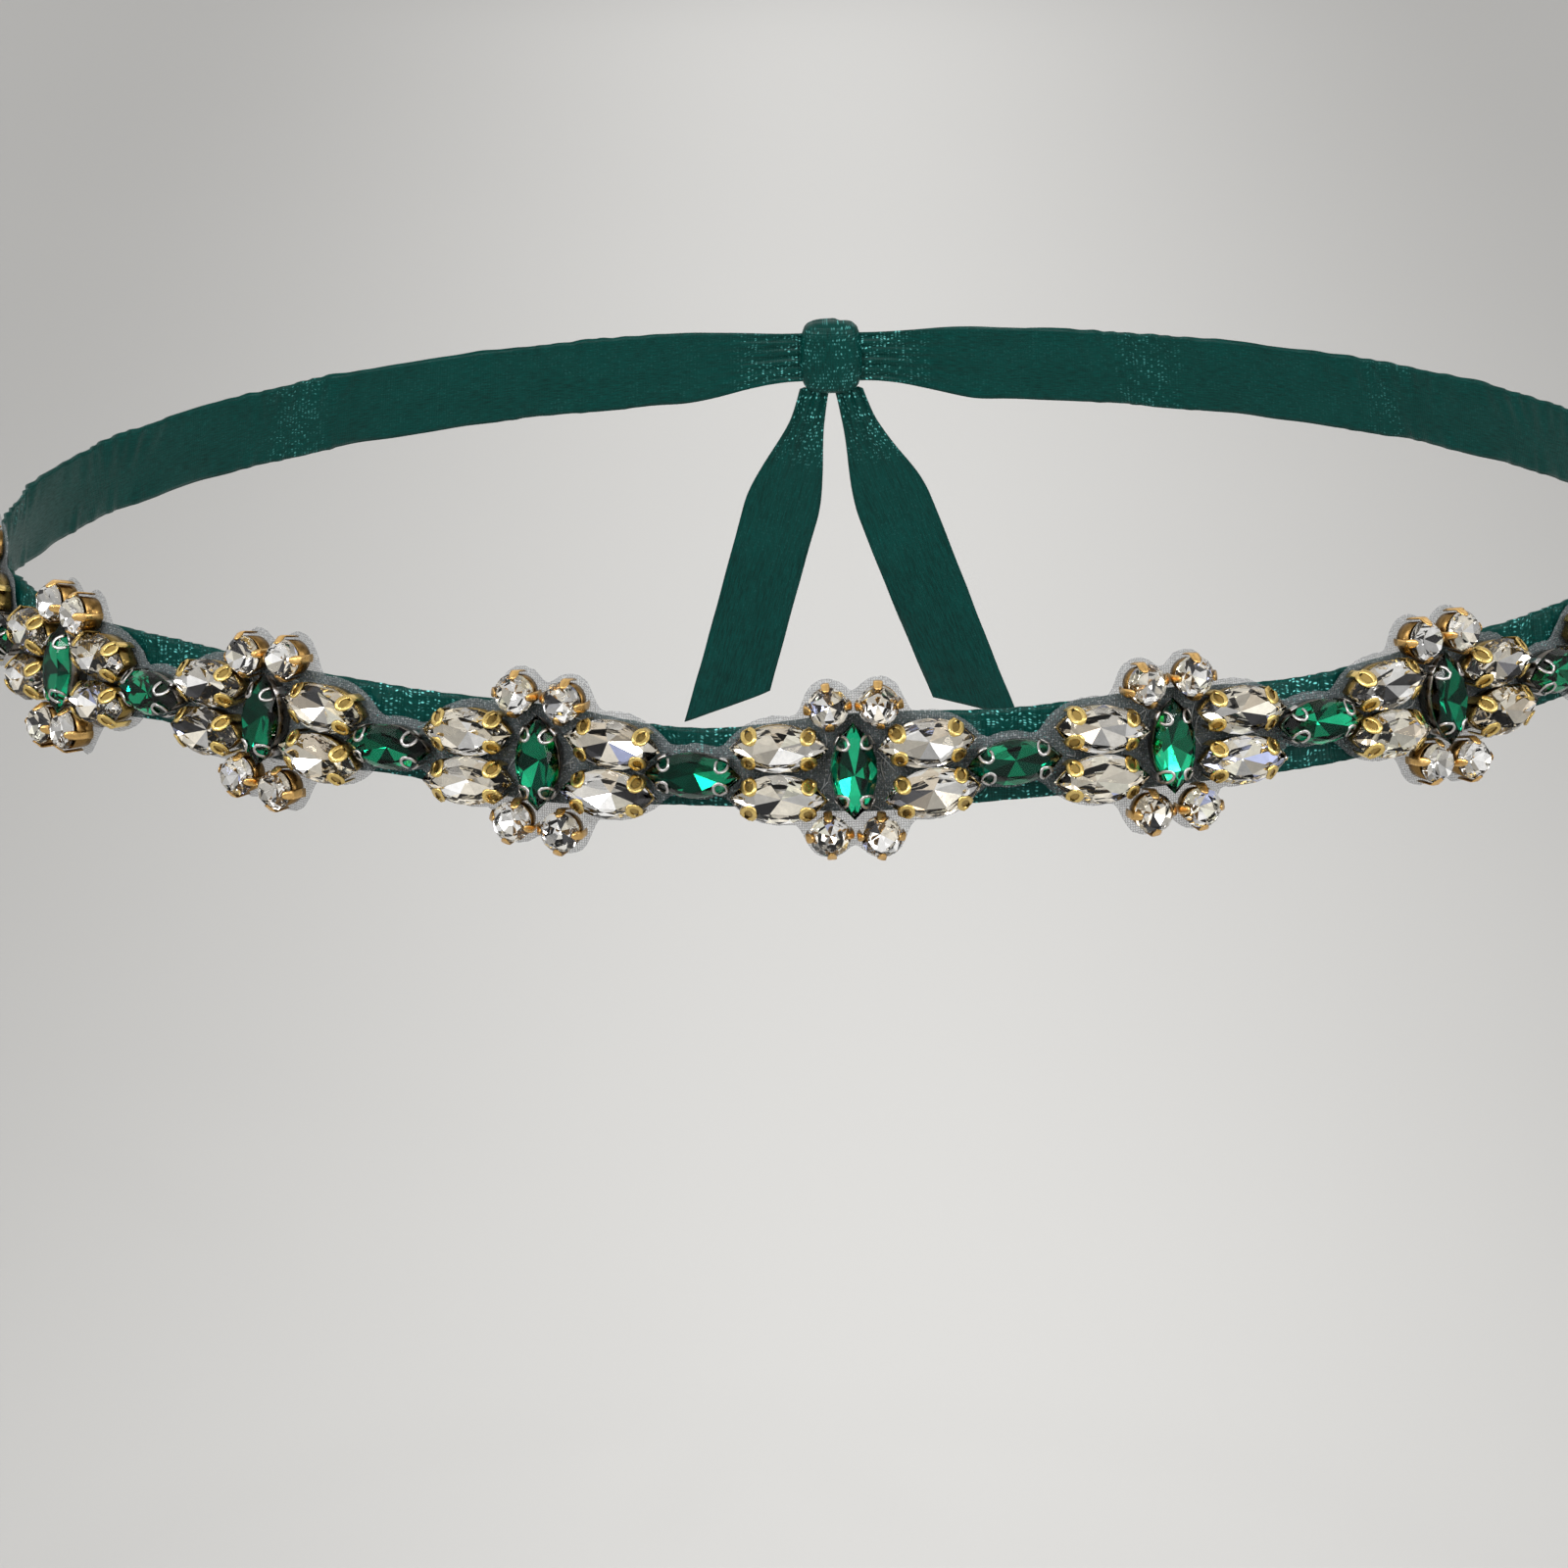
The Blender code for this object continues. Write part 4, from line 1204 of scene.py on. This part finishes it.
def tint_colour(tree):
    """The tint kept on each face: a painted reflection on a stone's foil, painted shade on the cups and on
    the claws' sides and hollows.
    """
    return add_node(tree, "ShaderNodeAttribute", attribute_name="tint").outputs["Color"]


def foil_material(name, edge):
    """Foil behind a facet: a mirror in the tone kept on the facet, which is a painted reflection, a little
    clouded.
    """
    material, tree, shader = new_material(name)
    cloud = object_noise(tree, 900.0, 2.0)
    share = map_range(tree, cloud, 0.3, 0.7, 0.0, 0.25)
    clouded = mix_colour(tree, share, tint_colour(tree), (0.5, 0.5, 0.5), "MULTIPLY")
    tree.links.new(clouded, shader.inputs["Base Color"])
    tree.links.new(map_range(tree, cloud, 0.3, 0.7, 0.015, 0.05), shader.inputs["Roughness"])
    shader.inputs["Specular Tint"].default_value = (*edge, 1)
    shader.inputs["Metallic"].default_value = 1.0
    return material


def glass_material(name, tint, ior=1.42):
    """Clear pressed glass, a little smudged."""
    material, tree, shader = new_material(name)
    smudge = object_noise(tree, 400.0, 2.0)
    tree.links.new(map_range(tree, smudge, 0.45, 0.8, 0.0, 0.012), shader.inputs["Roughness"])
    shader.inputs["Base Color"].default_value = (*tint, 1)
    shader.inputs["Transmission Weight"].default_value = 1.0
    shader.inputs["IOR"].default_value = ior
    return material


def metal_material(name, colour):
    """Plated metal, darkened by the painted shade kept on its faces, and worn in small spots."""
    material, tree, shader = new_material(name)
    wear = object_noise(tree, 1300.0, 3.0)
    toned = mix_colour(tree, 1.0, colour, tint_colour(tree), "MULTIPLY")
    worn = mix_colour(tree, map_range(tree, wear, 0.45, 0.75, 0, 0.35), toned, darker(colour, 0.45))
    tree.links.new(worn, shader.inputs["Base Color"])
    tree.links.new(map_range(tree, wear, 0.3, 0.7, 0.2, 0.42), shader.inputs["Roughness"])
    add_bump(tree, shader, wear, 0.25, 0.05 * MM)
    shader.inputs["Metallic"].default_value = 1.0
    return material


def thread_material(colour):
    material, tree, shader = new_material("pale_thread")
    twist = object_noise(tree, 3500.0, 1.0)
    tree.links.new(mix_colour(tree, twist, darker(colour, 0.6), colour), shader.inputs["Base Color"])
    tree.links.new(map_range(tree, twist, 0.3, 0.7, 0.6, 0.4), shader.inputs["Roughness"])
    shader.inputs["Sheen Weight"].default_value = 0.3
    return material


def floor_material(colour):
    material, tree, shader = new_material("pale_floor")
    cloud = object_noise(tree, 1.2, 2.0)
    tree.links.new(mix_colour(tree, cloud, darker(colour, 0.95), colour), shader.inputs["Base Color"])
    shader.inputs["Roughness"].default_value = 0.7
    return material


def cached_material(name, make):
    return bpy.data.materials.get(name) or make()


# Operators


class SASH_OT_ribbon_band(bpy.types.Operator):
    """Make the satin ribbon that goes round the waist"""

    bl_idname = "sash.ribbon_band"
    bl_label = "Ribbon band"

    def execute(self, context):
        cloth = context.scene.sash_cloth
        grid, place, pinch = ribbon_grid(cloth)
        satin = cached_material("emerald_satin", lambda: satin_material(cloth))
        obj = cloth_piece("satin_band", grid, place, pinch, satin, cloth.ribbon_thickness)
        finish_piece(obj, ["ribbon_band"])
        return {"FINISHED"}


class SASH_OT_knot_and_tails(bpy.types.Operator):
    """Make the knot at centre back and the two loose ends"""

    bl_idname = "sash.knot_and_tails"
    bl_label = "Knot and loose ends"

    def execute(self, context):
        cloth = context.scene.sash_cloth
        satin = cached_material("emerald_satin", lambda: satin_material(cloth))
        points = knot_rings()
        rings, sides = points.shape[:2]
        local = points.reshape(-1, 3)
        placed = moved(local, band_frame(HALF_ROUND))
        faces = tube_faces(rings, sides, clockwise=True)
        place = local[:, [1, 0, 2]]
        knot = cloth_mesh("satin_knot", placed, faces, place, np.full(len(local), KNOT_PINCH), satin)
        finish_piece(knot, ["ribbon_knot"])
        for tail, side in ((TAIL_RIGHT, "right"), (TAIL_LEFT, "left")):
            grid, place, pinch = tail_grid(tail)
            obj = cloth_piece(f"satin_end_{side}", grid, place, pinch, satin, cloth.ribbon_thickness)
            finish_piece(obj, [f"ribbon_tail_{side}"])
        return {"FINISHED"}


class SASH_OT_backing(bpy.types.Operator):
    """Make the fine grey mesh under the stones"""

    bl_idname = "sash.backing"
    bl_label = "Mesh backing"

    def execute(self, context):
        scene = context.scene
        cloth, stones = scene.sash_cloth, scene.sash_stones
        last = CLUSTER_SEWING[-1].cluster * PITCH
        end = last + CLEAR_PAIR_ALONG + stones.clear_half_length + cloth.backing_margin
        columns = np.linspace(-end, end, round(2 * end / BACKING_STEP))
        upper, lower = backing_edges(cloth, stones, columns)
        chance = np.random.default_rng(BACKING_SEED)
        upper = upper + chance.normal(0, 0.05 * MM, len(upper))
        lower = lower + chance.normal(0, 0.05 * MM, len(lower))
        share = np.linspace(0, 1, BACKING_ROWS)[None, :]
        height = lower[:, None] + (upper - lower)[:, None] * share
        along = np.repeat(columns[:, None], BACKING_ROWS, 1)
        x, y = along / MM, height / MM
        ripple = 0.07 * np.sin(x / 1.9 + y / 1.4) + 0.06 * np.sin(x / 3.1 - y / 0.9 + 1.0)
        edge = np.abs(share * 2 - 1) ** 4
        flutter = 0.18 * edge * np.sin(x / 1.3 + 0.7 * np.sign(share - 0.5))
        grid = on_band(along, height, cloth.backing_height + (ripple + flutter) * MM)
        place = np.stack([along, height, np.zeros_like(along)], -1)
        tulle = cached_material("grey_mesh", lambda: tulle_material(cloth))
        pinch = np.zeros_like(along)
        obj = cloth_piece("tulle_backing", grid, place, pinch, tulle, cloth.backing_thickness)
        finish_piece(obj, ["backing"])
        return {"FINISHED"}


# Foil tones of each kind of stone, which are painted reflections, and their shares in the facets above and
# below its middle, which paint the light as falling from above


def clear_palette(stones):
    tones = (stones.ivory, stones.champagne, stones.white, stones.grey, stones.dark, stones.violet)
    return tones, (0.38, 0.20, 0.20, 0.17, 0.04, 0.01), (0.54, 0.05, 0.29, 0.02, 0.08, 0.02)


def round_palette(stones):
    tones = (stones.ivory, stones.white, stones.grey, stones.dark, stones.violet)
    shares = (0.32, 0.33, 0.22, 0.10, 0.03)
    return tones, shares, shares


def green_palette(stones):
    tones = (stones.green_bright, stones.green_middle, stones.green_dark)
    return tones, (0.05, 0.34, 0.61), (0.24, 0.34, 0.42)


def node_names(*stems):
    """Names of the solids that start with the stems and end with a number."""
    return [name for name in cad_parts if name.rstrip("0123456789").rstrip("_") in stems]


# Pieces and slots of each kind of stone, and the solids that they replace
StoneGroup = namedtuple("StoneGroup", "stone stone_slot cup cup_slot stems")
STONE_GROUPS = {
    GREEN: StoneGroup(
        "green_navettes",
        "emerald_stone",
        "silver_cups",
        "silver_setting",
        ("centre_stone", "link_stone"),
    ),
    NAVETTE: StoneGroup(
        "clear_navettes",
        "clear_stone",
        "gold_navette_cups",
        "gold_setting",
        ("crystal_pair_left", "crystal_pair_right"),
    ),
    ROUND: StoneGroup(
        "clear_rounds",
        "clear_stone",
        "gold_round_cups",
        "gold_setting",
        ("round_pair_top", "round_pair_bottom"),
    ),
}


def make_stones(context, kind, palette, glass, foil, metal_finish):
    """The cut stones of one kind as one piece, and their cups with claws as another."""
    stones, metal = context.scene.sash_stones, context.scene.sash_metal
    group = STONE_GROUPS[kind]
    chance = np.random.default_rng(STONE_SEEDS[kind])
    cut, cups = Gathering(), Gathering()
    outline = stone_outline(kind, stones)
    levels = stone_levels(kind, stones)
    for seat in sewn_seats():
        if seat.kind == kind:
            add_stone(cut, seat, outline, levels, stones.table_share, palette, chance)
            add_setting(cups, seat, kind, stones, metal, chance)
    nodes = node_names(*group.stems)
    finish_piece(cut.piece(group.stone, [glass, foil]), nodes)
    finish_piece(cups.piece(group.cup, [metal_finish], smooth=True), nodes)


def clear_glass_and_foil():
    glass = cached_material("clear_glass", lambda: glass_material("clear_glass", (1.0, 0.995, 0.985)))
    foil = cached_material("clear_foil", lambda: foil_material("clear_foil", (1.0, 0.97, 0.92)))
    return glass, foil


class SASH_OT_green_stones(bpy.types.Operator):
    """Make the green navettes in their silver cups"""

    bl_idname = "sash.green_stones"
    bl_label = "Green navettes"

    def execute(self, context):
        stones, metal = context.scene.sash_stones, context.scene.sash_metal
        glass = glass_material("green_glass", (0.50, 0.93, 0.80), 1.33)
        foil = foil_material("green_foil", (0.01, 0.22, 0.14))
        silver = metal_material("silver_metal", metal.silver)
        make_stones(context, GREEN, green_palette(stones), glass, foil, silver)
        return {"FINISHED"}


class SASH_OT_clear_navettes(bpy.types.Operator):
    """Make the clear navettes in their gold cups"""

    bl_idname = "sash.clear_navettes"
    bl_label = "Clear navettes"

    def execute(self, context):
        stones, metal = context.scene.sash_stones, context.scene.sash_metal
        glass, foil = clear_glass_and_foil()
        gold = metal_material("yellow_gold_metal", metal.gold)
        make_stones(context, NAVETTE, clear_palette(stones), glass, foil, gold)
        return {"FINISHED"}


class SASH_OT_clear_rounds(bpy.types.Operator):
    """Make the small round stones in their four-claw gold cups"""

    bl_idname = "sash.clear_rounds"
    bl_label = "Round stones"

    def execute(self, context):
        stones, metal = context.scene.sash_stones, context.scene.sash_metal
        glass, foil = clear_glass_and_foil()
        gold = metal_material("warm_gold_metal", metal.warm_gold)
        make_stones(context, ROUND, round_palette(stones), glass, foil, gold)
        return {"FINISHED"}


def thread_spans(chance):
    """Ends of the threads over the backing, in millimetres along the band and up it."""

    def between(low, high):
        return float(chance.uniform(low, high))

    def near(spread):
        return float(chance.normal(0, spread))

    spans = []
    for sewn in CLUSTER_SEWING:
        middle = sewn.cluster * PITCH / MM + sewn.shift
        for side in (-1, 1):
            # Beside the centre stone
            for _ in range(5):
                x = middle + side * between(3.4, 5.0)
                y = between(-5.5, 5.5)
                spans.append((x, y, x + near(1.3), y + between(1.5, 4.0) * chance.choice([-1, 1])))
            # Between the two clear stones of a pair
            x = middle + side * 14.8
            for _ in range(3):
                y = between(-1.3, 1.3)
                spans.append((x - side * between(0.3, 1.6), y, x + side * between(0.2, 1.2), y + near(0.6)))
        for up in (-1, 1):
            # Along the inner side of the round stones
            for _ in range(3):
                x = middle + between(-6.5, 6.5)
                y = up * between(5.4, 7.2)
                spans.append((x, y, x + between(-2.4, 2.4), y + near(0.7)))
    return spans


class SASH_OT_threads(bpy.types.Operator):
    """Make the pale threads that sew the cups down"""

    bl_idname = "sash.threads"
    bl_label = "Sewing threads"

    def execute(self, context):
        cloth = context.scene.sash_cloth
        chance = np.random.default_rng(THREAD_SEED)
        gathered = Gathering()
        share = np.linspace(0, 1, 7)
        sag = np.sin(math.pi * share)
        for x0, y0, x1, y1 in thread_spans(chance):
            bend = float(chance.normal(0, 0.35))
            x = x0 + (x1 - x0) * share + bend * sag
            y = y0 + (y1 - y0) * share - bend * sag
            out = cloth.backing_height / MM + 0.1 + sag * float(chance.uniform(0.05, 0.25))
            points, faces = thread_tube(on_band(x * MM, y * MM, out * MM), cloth.thread_radius)
            gathered.add(points, faces)
        thread = cached_material("pale_thread", lambda: thread_material(cloth.thread_colour))
        finish_piece(gathered.piece("sewing_threads", [thread], smooth=True))
        return {"FINISHED"}


def add_light(name, place, aim, size, power, spread=math.pi):
    data = bpy.data.lights.new(name, "AREA")
    data.shape = "RECTANGLE"
    data.size, data.size_y = size
    data.energy = power
    data.spread = spread
    light = bpy.data.objects.new(name, data)
    light.location = place
    light.rotation_mode = "QUATERNION"
    light.rotation_quaternion = (Vector(aim) - Vector(place)).to_track_quat("-Z", "Y")
    bpy.context.scene.collection.objects.link(light)


# Places in metres from the middle of the waist
FRONT = (0, -WAIST_HALF_DEPTH, 0)
CAMERA_TARGET = (-0.0110, -WAIST_HALF_DEPTH, -0.003135)
KEY_PLACE = (-0.50, -0.85, 0.80)
FILL_PLACE = (0.75, -0.70, 0.35)
TOP_ACROSS, TOP_BEHIND, TOP_HEIGHT = 0.03, 1.7, 0.45
TOP_SPREAD = math.radians(55)
SPARKLE_PLACES = (
    (-0.25, -0.95, 0.35),
    (0.42, -0.85, 0.55),
    (0.05, -0.75, 0.85),
    (-0.75, -0.55, 0.25),
    (0.80, -0.45, 0.30),
)
ROOM_COLOUR = (0.97, 0.965, 0.955)
SEEN_ROOM_STRENGTH = 0.75


def room_light(strength, pale):
    """An even pale room, uneven only in what the stones mirror."""
    world = bpy.data.worlds.new("studio_room")
    world.use_nodes = True
    tree = world.node_tree
    tree.nodes.clear()
    way = add_node(tree, "ShaderNodeTexCoord").outputs["Generated"]
    patches = add_node(tree, "ShaderNodeTexNoise", {"Scale": 2.1, "Detail": 1.0})
    tree.links.new(way, patches.inputs["Vector"])
    level = map_range(tree, patches.outputs["Fac"], 0.40, 0.60, 0.50, 1.60)
    mirrored = add_node(tree, "ShaderNodeBackground", {"Color": (*pale, 1)})
    tree.links.new(math_node(tree, "MULTIPLY", level, strength), mirrored.inputs["Strength"])
    seen = add_node(tree, "ShaderNodeBackground", {"Color": (*pale, 1), "Strength": SEEN_ROOM_STRENGTH})
    rays = add_node(tree, "ShaderNodeLightPath")
    joined = add_node(tree, "ShaderNodeMixShader")
    tree.links.new(rays.outputs["Is Camera Ray"], joined.inputs[0])
    tree.links.new(mirrored.outputs[0], joined.inputs[1])
    tree.links.new(seen.outputs[0], joined.inputs[2])
    output = add_node(tree, "ShaderNodeOutputWorld")
    tree.links.new(joined.outputs[0], output.inputs["Surface"])
    return world


class SASH_OT_stage(bpy.types.Operator):
    """Make the floor, the lights and the camera"""

    bl_idname = "sash.stage"
    bl_label = "Floor, light and camera"

    def execute(self, context):
        scene = context.scene
        stage = scene.sash_stage
        reach, drop = stage.floor_reach, stage.floor_drop
        mesh = bpy.data.meshes.new("floor")
        corners = [(x * reach, y * reach, -drop) for x, y in ((-1, -1), (1, -1), (1, 1), (-1, 1))]
        mesh.from_pydata(corners, [], [(0, 1, 2, 3)])
        mesh.materials.append(floor_material(stage.floor_colour))
        link_piece("floor", mesh)
        add_light("key_light", KEY_PLACE, FRONT, (0.40, 0.40), stage.key_power)
        add_light("fill_light", FILL_PLACE, FRONT, (0.60, 0.60), stage.fill_power)
        top, under_top = (TOP_ACROSS, TOP_BEHIND, TOP_HEIGHT), (TOP_ACROSS, TOP_BEHIND, -drop)
        add_light("top_light", top, under_top, (0.1, 2.8), stage.top_power, spread=TOP_SPREAD)
        for number, place in enumerate(SPARKLE_PLACES, start=1):
            add_light(f"sparkle_light_{number}", place, FRONT, (0.05, 0.05), stage.sparkle_power)
        scene.world = room_light(stage.room_strength, ROOM_COLOUR)
        scene.view_settings.view_transform = "Standard"
        data = bpy.data.cameras.new("camera")
        data.lens = stage.lens
        data.sensor_width = 36
        data.clip_start, data.clip_end = 0.01, 100
        camera = bpy.data.objects.new("camera", data)
        back = Vector((0, -math.cos(stage.camera_height), math.sin(stage.camera_height)))
        camera.location = Vector(CAMERA_TARGET) + back * stage.camera_distance
        camera.rotation_mode = "QUATERNION"
        roll = Quaternion((0, 0, 1), stage.camera_roll)
        camera.rotation_quaternion = (-back).to_track_quat("-Z", "Y") @ roll
        scene.collection.objects.link(camera)
        scene.camera = camera
        return {"FINISHED"}


class SASH_PT_sash(bpy.types.Panel):
    """Steps that make the sash, and its sizes and colours"""

    bl_idname = "SASH_PT_sash"
    bl_label = "Bridal sash"
    bl_space_type = "VIEW_3D"
    bl_region_type = "UI"
    bl_category = "Sash"

    def draw(self, context):
        for operator in OPERATORS:
            self.layout.operator(operator.bl_idname)
        for name in GROUPS:
            group = getattr(context.scene, name)
            box = self.layout.box()
            for key in group.__annotations__:
                box.prop(group, key)


OPERATORS = (
    SASH_OT_stage,
    SASH_OT_ribbon_band,
    SASH_OT_knot_and_tails,
    SASH_OT_backing,
    SASH_OT_green_stones,
    SASH_OT_clear_navettes,
    SASH_OT_clear_rounds,
    SASH_OT_threads,
)
GROUPS = {
    "sash_cloth": SashCloth,
    "sash_stones": SashStones,
    "sash_metal": SashMetal,
    "sash_stage": SashStage,
}


def register():
    for group in GROUPS.values():
        bpy.utils.register_class(group)
    for operator in OPERATORS:
        bpy.utils.register_class(operator)
    bpy.utils.register_class(SASH_PT_sash)
    for name, group in GROUPS.items():
        setattr(bpy.types.Scene, name, PointerProperty(type=group))


def unregister():
    for name in GROUPS:
        delattr(bpy.types.Scene, name)
    bpy.utils.unregister_class(SASH_PT_sash)
    for operator in reversed(OPERATORS):
        bpy.utils.unregister_class(operator)
    for group in reversed(list(GROUPS.values())):
        bpy.utils.unregister_class(group)


def main():
    register()
    bpy.ops.sash.stage()
    bpy.ops.sash.ribbon_band()
    bpy.ops.sash.knot_and_tails()
    bpy.ops.sash.backing()
    bpy.ops.sash.green_stones()
    bpy.ops.sash.clear_navettes()
    bpy.ops.sash.clear_rounds()
    bpy.ops.sash.threads()


if __name__ == "__main__":
    main()
